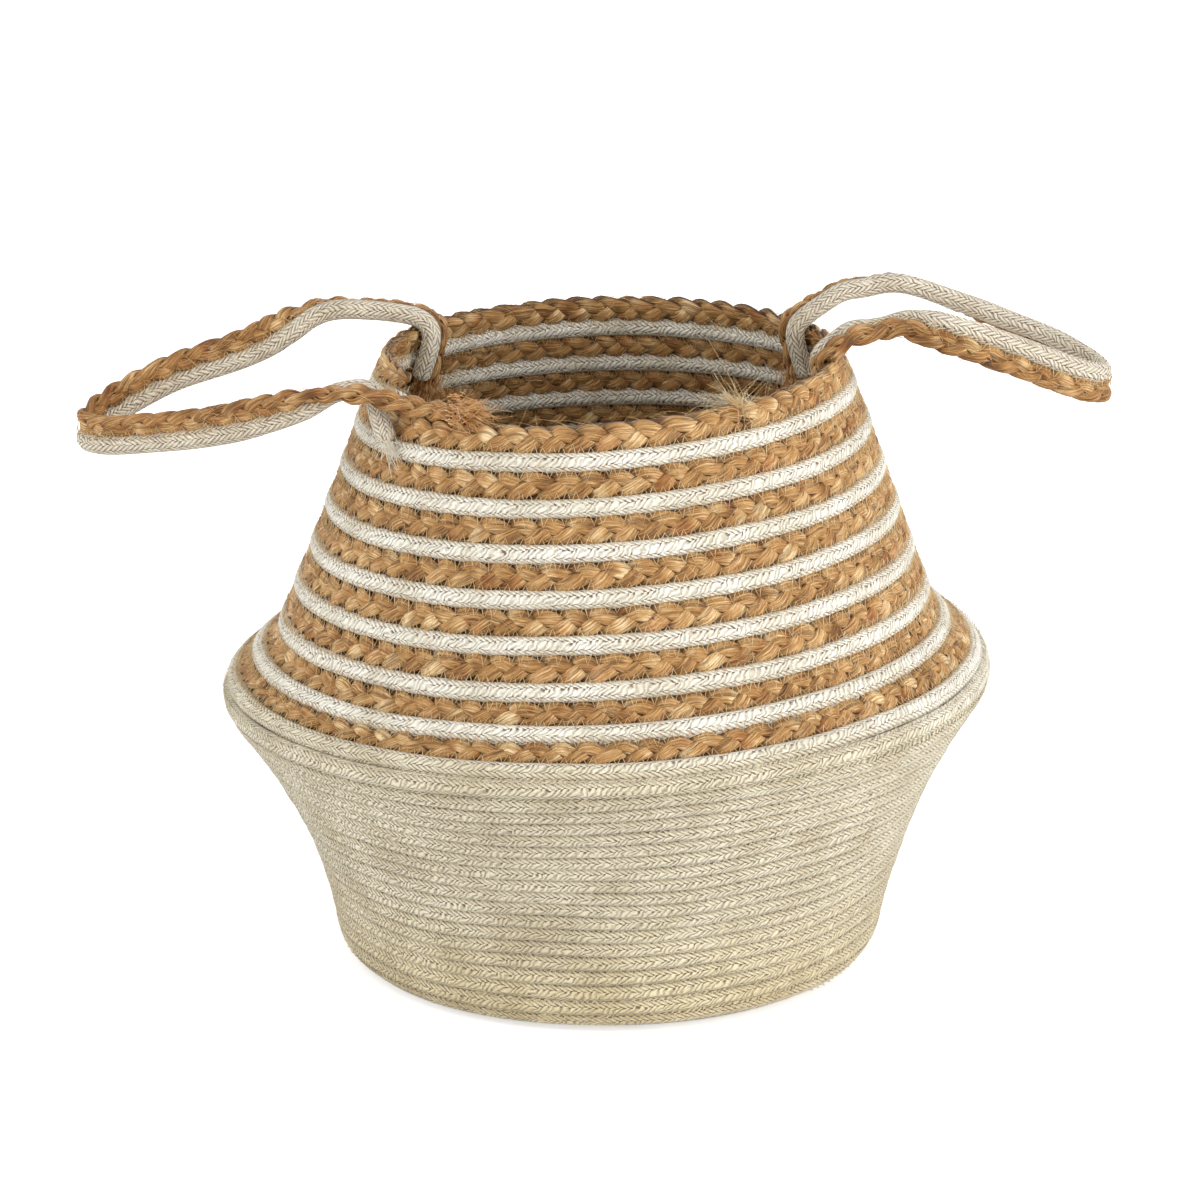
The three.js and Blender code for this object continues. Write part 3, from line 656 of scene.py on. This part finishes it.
# A seam beside the wound rope: above it or below it, on one face of the wall
def wall_seam(first, last, above, outside, seed):
    chosen = (rope_turns >= first) & (rope_turns <= last)
    turns = rope_turns[chosen]
    opening = braid_opening(turns + (1 if above else 0))
    half_wide, half_thick = rope_half_wide[chosen], rope_half_thick[chosen]
    bite = np.clip(bite_share * opening, least_bite, most_bite_above if above else most_bite_below)
    bed = np.where(opening > 3, braid_face * np.sqrt(opening / braid_slot), rope_face)
    side = 1 if above else -1
    way = 1 if outside else -1
    return zigzag(rope_run[chosen] - rope_run[chosen][0], rope_place[chosen], rope_up[chosen] * side,
                  rope_out[chosen] * way, near=0.5 * half_wide, far=half_wide + bite,
                  near_height=rope_face_share * half_thick, far_height=bed, seed=seed)


for name, cotton_thread, seams in (
    ("lower_wall_thread", clean_thread, [wall_seam(-wall_turns, plain_wall_end, True, True, 71)]),
    ("stripe_thread_outside", thread, [wall_seam(stripe_seam_start, rope_end_turn, True, True, 72),
                                       wall_seam(braid_start_turn, rope_end_turn, False, True, 73)]),
    ("stripe_thread_inside", thread, [wall_seam(stripe_seam_start, rope_end_turn, True, False, 74),
                                      wall_seam(braid_start_turn, rope_end_turn, False, False, 75)]),
):
    seam = lay_cord(name, seams, cotton_thread, thread_sides)
    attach(seam, "basket")

# Loose fibres: single jute fibres and bundles that stand off the braid, with thicker brown flecks of bark, a
# pale tuft at the splice, and a fine lint on the cotton. Fibres and lint are drawn 0.1 to 0.2 mm thick, two
# or three times the real thickness, to show.
fibre_points = 6
fibre_tip_share = 0.45
fibre_start_turn = 0.3
fibre_root_across = 4.4
fibre_root_height = 2.3
rim_fibre_count = 320
rim_fibre_across = 2
rim_fibre_height = 4.2
lint_count = 3000
lint_start_turn = -2


def loose_fibres(name, paths, half, material):
    curve = bpy.data.curves.new(name, "CURVE")
    curve.dimensions = "3D"
    curve.bevel_depth = half * mm
    curve.bevel_resolution = 0
    curve.use_fill_caps = True
    for path in paths:
        spline = curve.splines.new("POLY")
        spline.points.add(len(path) - 1)
        spline.points.foreach_set("co", np.concatenate([path * mm, np.ones((len(path), 1))], axis=1).ravel())
        spline.points.foreach_set("radius", np.linspace(1, fibre_tip_share, len(path)))
    drawn = add_object(name, curve)
    mesh = bpy.data.meshes.new_from_object(drawn.evaluated_get(bpy.context.evaluated_depsgraph_get()))
    bpy.data.objects.remove(drawn)
    bpy.data.curves.remove(curve)
    mesh.name = name
    mesh.materials.clear()
    mesh.materials.append(material)
    return add_object(name, mesh)


# Single fibres rise from their roots, mostly along the braid, and bend over again
def strays(roots, along, across, out, longest, seed):
    draws = np.random.default_rng(seed)
    count = len(roots)
    length = longest * (0.2 + 0.8 * draws.random(count) ** 2)
    lean = draws.normal(0, 0.6, count)
    way = along * (np.cos(lean) * draws.choice([-1, 1], count))[:, None] + across * np.sin(lean)[:, None]
    rise = draws.uniform(0.03, 0.3, count) * length
    sway = draws.normal(0, 0.25, count) * length
    share = np.linspace(0, 1, fibre_points)
    paths = roots[:, None] + way[:, None] * (length[:, None] * share)[..., None]
    paths = paths + out[:, None] * (rise[:, None] * np.sin(2 * share))[..., None]
    return paths + np.cross(way, out)[:, None] * (sway[:, None] * share ** 2)[..., None]


# Fibres that fan out from a cut end
def brush(end, way, count, longest, spread, thickness, seed):
    draws = np.random.default_rng(seed)
    way = np.array(way, float) / np.linalg.norm(way)
    roots = np.array(end, float) + thickness * draws.normal(0, 0.5, (count, 3))
    ways = unit(way + spread * draws.normal(0, 1, (count, 3)))
    length = longest * draws.uniform(0.3, 1, count)
    share = np.linspace(0, 1, fibre_points)
    curl = draws.normal(0, 0.35, (count, 3)) - [0, 0, 0.2]
    paths = roots[:, None] + ways[:, None] * (length[:, None] * share)[..., None]
    return paths + curl[:, None] * (length[:, None] * share ** 2)[..., None]


# Jute fibre: pale gold, glossy, and lighter than the braid
def jute_fibre(name, gold, pale):
    material = sewing_thread(name, pale, gold)
    material.node_tree.nodes["Principled BSDF"].inputs["Roughness"].default_value = 0.42
    return material


fibre = jute_fibre("loose_jute_fibre", gold="B68950", pale="E2C794")
pale_tuft = jute_fibre("pale_jute_tuft", gold="C9A56C", pale="F0DDB4")
fray = jute_fibre("frayed_jute_end", gold="A96C33", pale="E6BC82")
yarn = sewing_thread("loose_cotton_yarn", pale="F6F0E4", yellowed="DDD2BD")
bark = jute_fibre("jute_bark_fleck", gold="2E2118", pale="5A452F")


def braid_roots(count, face, seed):
    draws = np.random.default_rng(seed)
    turns = draws.uniform(fibre_start_turn, braid_end_turn, count)
    place, up, out = wall_at(braid_length(turns), turn_angle(turns))
    width = braid_opening(turns) / braid_slot
    across = (width * draws.uniform(-fibre_root_across, fibre_root_across, count))[:, None]
    roots = place + up * across + out * (face * fibre_root_height * width)[:, None]
    return roots, unit(np.cross(up, out)), up, out * face


roots, along, up, out = braid_roots(count=2200, face=1, seed=81)
outside_fibres = strays(roots, along, up, out, longest=13, seed=82)
roots, along, up, out = braid_roots(count=900, face=-1, seed=83)
inside_fibres = strays(roots, along, up, out, longest=12, seed=84)
draws = np.random.default_rng(85)
rim_turn = draws.uniform(rope_end_turn, braid_end_turn, rim_fibre_count)
place, up, out = wall_at(braid_length(rim_turn), turn_angle(rim_turn))
across = draws.uniform(-rim_fibre_across, rim_fibre_across, rim_fibre_count)[:, None]
roots = place + up * rim_fibre_height + out * across
top_fibres = strays(roots, np.cross(up, out), out, up, longest=12, seed=86)
splice, splice_up, splice_out = wall_at(braid_length(splice_turn), turn_angle(splice_turn))
tuft = [
    brush(splice + splice_up * 3 + splice_out * 1.5, 0.55 * splice_up + 0.3 * splice_out - [0.7, 0, 0],
          count=76, longest=15, spread=0.4, thickness=3, seed=87),
    brush(splice + splice_up * 2 + splice_out * 2.5, 0.5 * splice_out + [0.6, 0, 0.2],
          count=34, longest=9, spread=0.6, thickness=3, seed=88),
    brush(splice + splice_up * 4, [-0.9, 0.1, 0.25],
          count=26, longest=15, spread=0.35, thickness=2.5, seed=89),
]
roots, along, up, out = braid_roots(count=26, face=1, seed=90)
flecks = strays(roots + out * 0.25, along, up, out * 0.1, longest=3.4, seed=91)
draws = np.random.default_rng(92)
linty = np.flatnonzero(rope_turns > lint_start_turn)
picked = linty[draws.integers(0, len(linty), lint_count)]
lean = draws.uniform(-1.2, 1.2, lint_count)[:, None]
up, out = rope_up[picked], rope_out[picked]
roots = rope_place[picked] + up * rope_half_wide[picked, None] * np.sin(lean) * 0.95
roots = roots + out * rope_half_thick[picked, None] * np.cos(lean)
lint = strays(roots, np.cross(up, out), up, out, longest=4.5, seed=93)
for name, paths, half, material, slot in (
    ("loose_jute_fibres", outside_fibres, 0.06, fibre, "jute_braid"),
    ("inner_jute_fibres", np.concatenate([inside_fibres, top_fibres]), 0.075, fibre, "jute_braid"),
    ("splice_tuft", np.concatenate(tuft), 0.085, pale_tuft, "jute_braid"),
    ("bark_flecks", flecks, 0.3, bark, "jute_braid"),
    ("cotton_lint", lint, 0.05, yarn, "cotton_rope"),
):
    piece = loose_fibres(name, paths, half, material)
    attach(piece, "basket")

# Handles: a rope and a braid sewn side by side into a flat band. Each band starts inside the rim, bends over
# it, runs out in a loop and comes back. The loop swings where it leaves the rim, and the band bends there.
handle_rope_half = 3.4
handle_rope_wide = 3.65
handle_rope_thick = 3.55
handle_rope_step = 2.2
handle_rope_play = 0.03
handle_braid_half = 3.5
handle_braid_thick = 2.7
handle_plait_share = 0.76
handle_plait_step = 1.3
plait_tuck = 0.7
untied_length = 12
untied_width = 0.2
untied_thickness = 0.3
strand_gap = 0.4
loop_steps = 60
rope_offset = handle_rope_half + strand_gap / 2
plait_offset = handle_braid_half + strand_gap / 2

# Where the feet lie on the rim's braid, inside it and, at the left handle's front, outside it and on top
braid_width = 9
braid_thickness = 5.6
rim_clearance = 0.5
foot_depth = 14
inside_bend = 0.78
rope_foot_turn = 0.02
rope_foot_share = 0.3
rope_foot_sink = 6
rope_foot_drop = 7
rope_foot_steps = 30
braid_foot_turns = (0.036, 0.055, 0.075)
foot_steps = 20
rim_middle_turn = braid_end_turn - rim_turns / 2
rim_middle = wall_at(braid_length(rim_middle_turn), turn_angle(rim_middle_turn))[0]
rim_radius = math.hypot(rim_middle[0], rim_middle[1])
flat_sag = rim_radius * (1 - math.cos(math.pi / turn_steps))


# A smooth path through a few stops, closest to them where they lie close together
def smooth_path(stops, divisions):
    stops = np.array(stops, float)
    padded = np.concatenate([[2 * stops[0] - stops[1]], stops, [2 * stops[-1] - stops[-2]]])
    points = []
    for i in range(len(stops) - 1):
        a, b, c, d = padded[i:i + 4]
        before, here, after = [max(np.linalg.norm(q - p), 1e-9) ** 0.5 for p, q in ((a, b), (b, c), (c, d))]
        start_way = ((b - a) / before - (c - a) / (before + here) + (c - b) / here) * here
        stop_way = ((c - b) / here - (d - b) / (here + after) + (d - c) / after) * here
        t = np.linspace(0, 1, divisions + 1)[:, None]
        t = t if i == len(stops) - 2 else t[:-1]
        points.append(b + start_way * t + (3 * (c - b) - 2 * start_way - stop_way) * t ** 2
                      + (2 * (b - c) + start_way + stop_way) * t ** 3)
    return np.concatenate(points)


def rim_at(x, y):
    part = (math.atan2(y, x) - stripe_start_angle) / (2 * math.pi)
    turn = part + math.floor(braid_end_turn - part)
    return wall_at(braid_length(turn), turn_angle(turn))


# The hinge line is lower at its front end than at its back end
def hinge_point(handle, y, inward=0):
    share = (handle["back_y"] - y) / (handle["back_y"] - handle["front_y"])
    return handle["hinge_x"] - handle["side"] * inward, y, handle["hinge_z"] - handle["hinge_drop"] * share


# Over the rim and down its inner side, from the hinge line to the end
def inside_foot(handle, y, half_thick):
    rim_x = handle["side"] * math.sqrt(rim_radius ** 2 - y ** 2)
    place, up, out = rim_at(rim_x, y)
    lift = braid_width / 2 + half_thick + rim_clearance
    inset = braid_thickness / 2 + half_thick + sewn_gap + flat_sag
    return smooth_path([
        hinge_point(handle, y, 2 * half_thick + sewn_gap),
        place + up * lift,
        place + up * lift * inside_bend - out * inset * inside_bend,
        place - out * inset,
        place - up * foot_depth - out * inset,
    ], foot_steps)


# The left handle's front foot: its rope passes under its braid and goes down outside the rim
def outside_foot_rope(handle, y):
    turn = braid_end_turn - rim_turns + rope_foot_turn
    place, up, out = wall_at(braid_length(turn), turn_angle(turn))
    outset = braid_thickness / 2 + handle_rope_half + sewn_gap
    start = np.array(hinge_point(handle, y, 2 * handle_rope_half + sewn_gap))
    turned = start * (1 - rope_foot_share) + (place + out * outset) * rope_foot_share - [0, 0, rope_foot_sink]
    return smooth_path([start, turned, place + out * outset - up * rope_foot_drop], rope_foot_steps)


# Its braid lies along the rim's top, over the step where the rim's turn ends
def outside_foot_braid(handle, y):
    stops = [hinge_point(handle, y, 2 * handle_braid_thick + sewn_gap)]
    for share in braid_foot_turns:
        turn = braid_end_turn - rim_turns + share
        place, up, out = wall_at(braid_length(turn), turn_angle(turn))
        stops.append(place + up * (braid_width / 2 + handle_braid_thick + rim_clearance))
    return smooth_path(stops, foot_steps)


# The loop's middle line and the side on which its braid lies
def loop_band(handle):
    stops = []
    for out_share, foot_share, drop_share in handle["route_shares"]:
        foot_y = handle["back_y"] if foot_share > 0 else handle["front_y"]
        y = handle["tip_y"] + abs(foot_share) * (foot_y - handle["tip_y"])
        x, y, z = hinge_point(handle, y, -handle["reach"] * out_share)
        stops.append((x, y, z - handle["tip_drop"] * drop_share))
    path = smooth_path(stops, loop_steps)
    lengths = path_lengths(path)
    stop_lengths = lengths[::loop_steps]
    share = np.interp(lengths, stop_lengths, np.arange(len(stops)))
    lower = np.minimum(share.astype(int), len(stops) - 2)
    part = share - lower
    part = part * part * (3 - 2 * part)
    rolls = np.array(handle["rolls"])
    roll = np.radians(rolls[lower] * (1 - part) + rolls[lower + 1] * part)
    along = unit(np.gradient(path, axis=0))
    left = unit(np.stack([-along[:, 1], along[:, 0], 0 * along[:, 0]], axis=1))
    over = np.cross(along, left)
    return path, left * np.cos(roll)[:, None] + over * np.sin(roll)[:, None]


# One strand of a handle from the end of one foot to the end of the other, evenly stepped, with its wide way
def whole_strand(back, loop, loop_side, front, step):
    back_side = np.tile([0.0, 1.0, 0.0], (len(back), 1))
    front_side = np.tile([0.0, 1.0, 0.0], (len(front), 1))
    points = np.concatenate([back[::-1], loop[1:-1], front])
    sides = np.concatenate([back_side, loop_side[1:-1], front_side])
    for i in range(1, len(sides)):
        if np.dot(sides[i], sides[i - 1]) < 0:
            sides[i] = -sides[i]
    run = path_lengths(points)
    even = np.linspace(0, run[-1], int(run[-1] / step))
    points = np.stack([np.interp(even, run, points[:, k]) for k in range(3)], axis=1)
    sides = np.stack([np.interp(even, run, sides[:, k]) for k in range(3)], axis=1)
    for _ in range(3):
        points[1:-1] = (points[:-2] + 2 * points[1:-1] + points[2:]) / 4
        sides[1:-1] = (sides[:-2] + 2 * sides[1:-1] + sides[2:]) / 4
    along = unit(np.gradient(points, axis=0))
    wide = unit(sides - along * np.sum(sides * along, axis=1, keepdims=True))
    return points, wide, np.cross(wide, along)


# The same rope drawn tighter round a fuller core: smaller chevrons, five to the round, and darker painted
# shade in the lines between the yarns
handle_cotton = cotton_rope("handle_cotton_rope", columns_round=10, pitch=2.3, line_share=0.52,
                            drift_share=0.6, pale="EEE4CE", shaded="D3C6AC", pit_shade="6F5D55", cream="FFFFFF",
                            yellowed="FFFFFF")

# The braid of the handles is darker and more orange than the wall's
# Its darkest colour is painted shade, as in the wall's braid
handle_jute = combed_jute("handle_combed_jute", deep_shade="35190A", brown="5A3818", tan="8E6233", straw="B4844D",
                          pale="E3C38F", rust="D99C66")

# The hairs on the handles' braid, and the reach and height of the seam on either side of the band's middle
hair_count = 420
hair_root_across = 3.6
hair_root_height = 2.2
seam_inset = 6
seam_on_rope = 1.6
seam_on_braid = 2.2
seam_rope_height = 3.05
seam_braid_height = 2.6

# The hinge is so far outside the rim's middle and above its top, and its front end is lower by the drop.
# A route's shares say how far out each stop is, how far from the tip's y towards that of the back or front
# foot, and how far down. The rolls turn the band about its line. The face turn gives, by the length from the
# braid's front end, the degrees by which its face turns outwards. Each front half has bark at the bark's x.
handles = {
    "left": dict(
        side=-1, hinge_out=6.5, hinge_rise=6, hinge_drop=11, back_y=41, front_y=-47,
        reach=98, tip_y=-3, tip_drop=28.5, bark_x=-178,
        face_turn=((0, 35, 45, 53, 77), (30, 40, 32, 18, 0)),
        route_shares=[
            (0, 1, 0), (0.06, 1, -0.01), (0.16, 1, 0.01), (0.43, 0.82, 0.4), (0.73, 0.52, 0.63),
            (0.93, 0.25, 0.9), (1, 0, 1), (0.94, -0.22, 0.97), (0.73, -0.5, 0.79), (0.43, -0.77, 0.51),
            (0.18, -0.98, 0.16), (0.06, -1, 0.02), (0, -1, 0),
        ],
        rolls=[180, 180, 170, 95, 90, 90, 90, 90, 90, 90, 125, 170, 180],
    ),
    "right": dict(
        side=1, hinge_out=10.5, hinge_rise=14, hinge_drop=5.5, back_y=38, front_y=-14,
        reach=84, tip_y=1, tip_drop=22.5, bark_x=132,
        face_turn=((0, 20, 30, 42, 60, 85), (0, 10, 35, 40, 25, 0)),
        route_shares=[
            (0, 1, 0), (0.06, 1, -0.07), (0.16, 0.99, -0.09), (0.34, 0.92, 0.12), (0.6, 0.74, 0.43),
            (0.86, 0.43, 0.74), (1, 0, 1), (0.9, -0.85, 0.82), (0.57, -1.55, 0.24), (0.32, -1.7, -0.1),
            (0.13, -1.15, -0.16), (0.06, -1, -0.06), (0, -1, 0),
        ],
        rolls=[0, 0, -5, -20, -35, -55, -85, -90, -85, -60, -15, 0, 0],
    ),
}
for name, handle in handles.items():
    side = handle["side"]
    handle["hinge_x"] = side * (rim_radius + handle["hinge_out"])
    handle["hinge_z"] = rim_at(side * rim_radius, 0)[0][2] + braid_width / 2 + handle["hinge_rise"]
    band, braid_side = loop_band(handle)
    foot_ends = ((0, handle["back_y"]), (-1, handle["front_y"]))
    rope_y = [y + (rope_offset if braid_side[i][1] < 0 else -rope_offset) for i, y in foot_ends]
    plait_y = [y - (plait_offset if braid_side[i][1] < 0 else -plait_offset) for i, y in foot_ends]
    rope_feet = [inside_foot(handle, rope_y[0], handle_rope_half),
                 outside_foot_rope(handle, rope_y[1]) if name == "left"
                 else inside_foot(handle, rope_y[1], handle_rope_half)]
    plait_feet = [inside_foot(handle, plait_y[0], handle_braid_thick),
                  outside_foot_braid(handle, plait_y[1]) if name == "left"
                  else inside_foot(handle, plait_y[1], handle_braid_thick)]

    # The rope, with its cut end
    beside = band - braid_side * rope_offset
    points, wide, thick = whole_strand(rope_feet[0], beside, braid_side, rope_feet[1], handle_rope_step)
    full = 1 + handle_rope_play * unevenness(path_lengths(points), 51, 41, 77)[:, None]
    rope_line = (points, wide * handle_rope_wide * full, thick * handle_rope_thick * full)
    handle_rope = lay_cord(name + "_handle_cotton", [rope_line], handle_cotton)
    rope_end, rope_end_way = points[-1], points[-1] - points[-4]

    # The braid, plumper where it comes untied, with hairs, frayed ends and a knot of bark
    tucked = band + braid_side * (plait_offset - plait_tuck)
    points, wide, thick = whole_strand(plait_feet[0], tucked, braid_side, plait_feet[1], handle_plait_step)
    run = path_lengths(points)
    untied = np.clip(1 - np.minimum(run, run[-1] - run) / untied_length, 0, 1)[:, None]
    face_turn = side * np.radians(np.interp(run[-1] - run, *handle["face_turn"]))[:, None]
    wide, thick = (wide * np.cos(face_turn) + thick * np.sin(face_turn),
                   thick * np.cos(face_turn) - wide * np.sin(face_turn))
    strands = plait(points, wide * (handle_plait_share + untied_width * untied),
                    thick * (1 + untied_thickness * untied), 61 + side, free_edges=1)
    handle_plait = lay_cord(name + "_handle_plait", strands, handle_jute)
    draws = np.random.default_rng(101 + side)
    picked = draws.integers(4, len(points) - 4, hair_count)
    face = draws.choice([-1, 1], hair_count)[:, None]
    across = wide[picked] * draws.uniform(-hair_root_across, hair_root_across, hair_count)[:, None]
    roots = points[picked] + across + thick[picked] * hair_root_height * face
    hairs = strays(roots, np.cross(wide[picked], thick[picked]), wide[picked], thick[picked] * face,
                   longest=11, seed=103 + side)
    back_way, front_way = points[0] - points[4], points[-1] - points[-5]
    ends = [
        brush(points[0] - thick[0] * 0.4, back_way, count=320, longest=9, spread=0.2, thickness=4.6,
              seed=105 + side),
        brush(points[-4], front_way, count=520, longest=9, spread=0.2, thickness=5, seed=107 + side),
    ]
    front_half = points[len(points) // 2:]
    knot = front_half[np.argmin(np.abs(front_half[:, 0] - handle["bark_x"]))] + [0, -2.4, -1.5]
    knot_fibres = brush(knot, [1, -0.3, -0.3], count=26, longest=3.4, spread=0.9, thickness=1.6,
                        seed=113 + side)
    handle_bark = loose_fibres(name + "_handle_bark", knot_fibres, 0.14, bark)
    cut_yarn = [
        brush(rope_end, rope_end_way, count=60, longest=7, spread=0.35, thickness=3, seed=109),
        brush(points[-1], front_way, count=12, longest=5, spread=0.6, thickness=4, seed=115 + side),
    ]
    handle_fibres = loose_fibres(name + "_handle_fibres", hairs, 0.075, fibre)
    handle_fray = loose_fibres(name + "_handle_fray", np.concatenate(ends), 0.18, fray)
    handle_threads = loose_fibres(name + "_handle_cut_yarn", np.concatenate(cut_yarn), 0.16, yarn)

    # Each piece runs across the hinge, and the rope and braid take the place of the model's handle and feet
    for piece, slot, ending in (
        (handle_rope, "cotton_rope", "rope"), (handle_plait, "jute_braid", "braid"),
        (handle_fibres, "jute_braid", None), (handle_fray, "jute_braid", None),
        (handle_bark, "jute_braid", None), (handle_threads, "cotton_rope", None),
    ):
        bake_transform(piece)
        if ending:
            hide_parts(name + "_handle_" + ending, name + "_back_foot_" + ending,
                        name + "_front_foot_" + ending)

    # The seam between rope and braid, on both faces of the loop
    run = path_lengths(band)
    free = (run > seam_inset) & (run < run[-1] - seam_inset)
    run = run[free] - run[free][0]
    flat = np.cross(unit(np.gradient(band, axis=0)), braid_side)[free]
    level = np.ones(len(run))
    seams = [zigzag(run, band[free], braid_side[free], flat * face, near=-seam_on_rope * level,
                    far=seam_on_braid * level, near_height=seam_rope_height * level,
                    far_height=seam_braid_height * level, seed=111 + face) for face in (-1, 1)]
    handle_seam = lay_cord(name + "_handle_thread", seams, thread, thread_sides)
    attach(handle_seam, name + "_handle")

# Plain floor and soft studio light. Floor and sky look white to the camera and in reflections, and give the
# basket only a plain level of light.
floor_white = 0.86
floor_glow = 0.55
sky_light = 0.64
bpy.ops.mesh.primitive_plane_add(size=8, location=(0, 1.5, -0.0002))
floor = bpy.context.object
floor.name = "floor"


# 1 where the camera or a glossy surface sees it, and 0 for the light that it gives
def seen_directly(tree):
    rays = add_node(tree, "LightPath").outputs
    return add_node(tree, "Math", {0: rays["Is Camera Ray"], 1: rays["Is Glossy Ray"]}, operation="MAXIMUM")


floor_paint, tree = bare_material("matt_white_paint")
shown = add_node(tree, "Math", {0: seen_directly(tree), 1: floor_glow}, operation="MULTIPLY")
glow = add_node(tree, "Emission", {"Color": (1, 1, 1, 1), "Strength": shown})
paint = add_node(tree, "BsdfDiffuse", {"Color": (floor_white, floor_white, floor_white, 1)})
both = add_node(tree, "AddShader", {0: glow, 1: paint})
add_node(tree, "OutputMaterial", {0: both})
floor.data.materials.append(floor_paint)

world = bpy.data.worlds.new("studio")
bpy.context.scene.world = world
world.use_nodes = True
tree = world.node_tree
tree.nodes.clear()
level = add_node(tree, "MapRange", {0: seen_directly(tree), 3: sky_light})
sky = add_node(tree, "Background", {"Color": (1, 1, 1, 1), "Strength": level})
add_node(tree, "OutputWorld", {0: sky})

lamp_aim = (0, 0, 0.12)
for name, place, size, power in (
    ("key", (1.9, -0.8, 0.6), 1.0, 27),
    ("front", (-0.3, -1.9, 0.25), 1.4, 10),
    ("fill", (-1.7, -0.5, 0.6), 1.2, 9),
    ("top", (-0.1, -1.0, 1.6), 1.2, 7),
    ("back", (0.3, 1.9, 0.8), 1.4, 9),
):
    lamp_data = bpy.data.lights.new(name, "AREA")
    lamp_data.size = size
    lamp_data.energy = power
    lamp = add_object(name, lamp_data)
    lamp.location = place
    aim = np.array(lamp_aim) - np.array(place)
    lamp.rotation_euler = (math.atan2(math.hypot(aim[0], aim[1]), -aim[2]), 0, math.atan2(-aim[0], aim[1]))

# Camera at the photograph's viewing angle: 16.5 degrees above level, from 1.45 m. The shifts are the pixels
# by which the basket's middle lies off the middle of the photograph.
camera_pitch = math.radians(16.5)
camera_distance = 1.4508
camera_aim_height = 0.11425
photo_pixels = 1200
shift_x_pixels = -8
shift_y_pixels = 40
camera_data = bpy.data.cameras.new("camera")
camera = add_object("camera", camera_data)
camera.location = (0, -camera_distance * math.cos(camera_pitch),
                   camera_aim_height + camera_distance * math.sin(camera_pitch))
camera.rotation_euler = (math.pi / 2 - camera_pitch, 0, 0)
camera_data.sensor_width = 36
camera_data.lens = 120
camera_data.shift_x = shift_x_pixels / photo_pixels
camera_data.shift_y = shift_y_pixels / photo_pixels
bpy.context.scene.camera = camera
bpy.context.scene.view_settings.view_transform = "Standard"
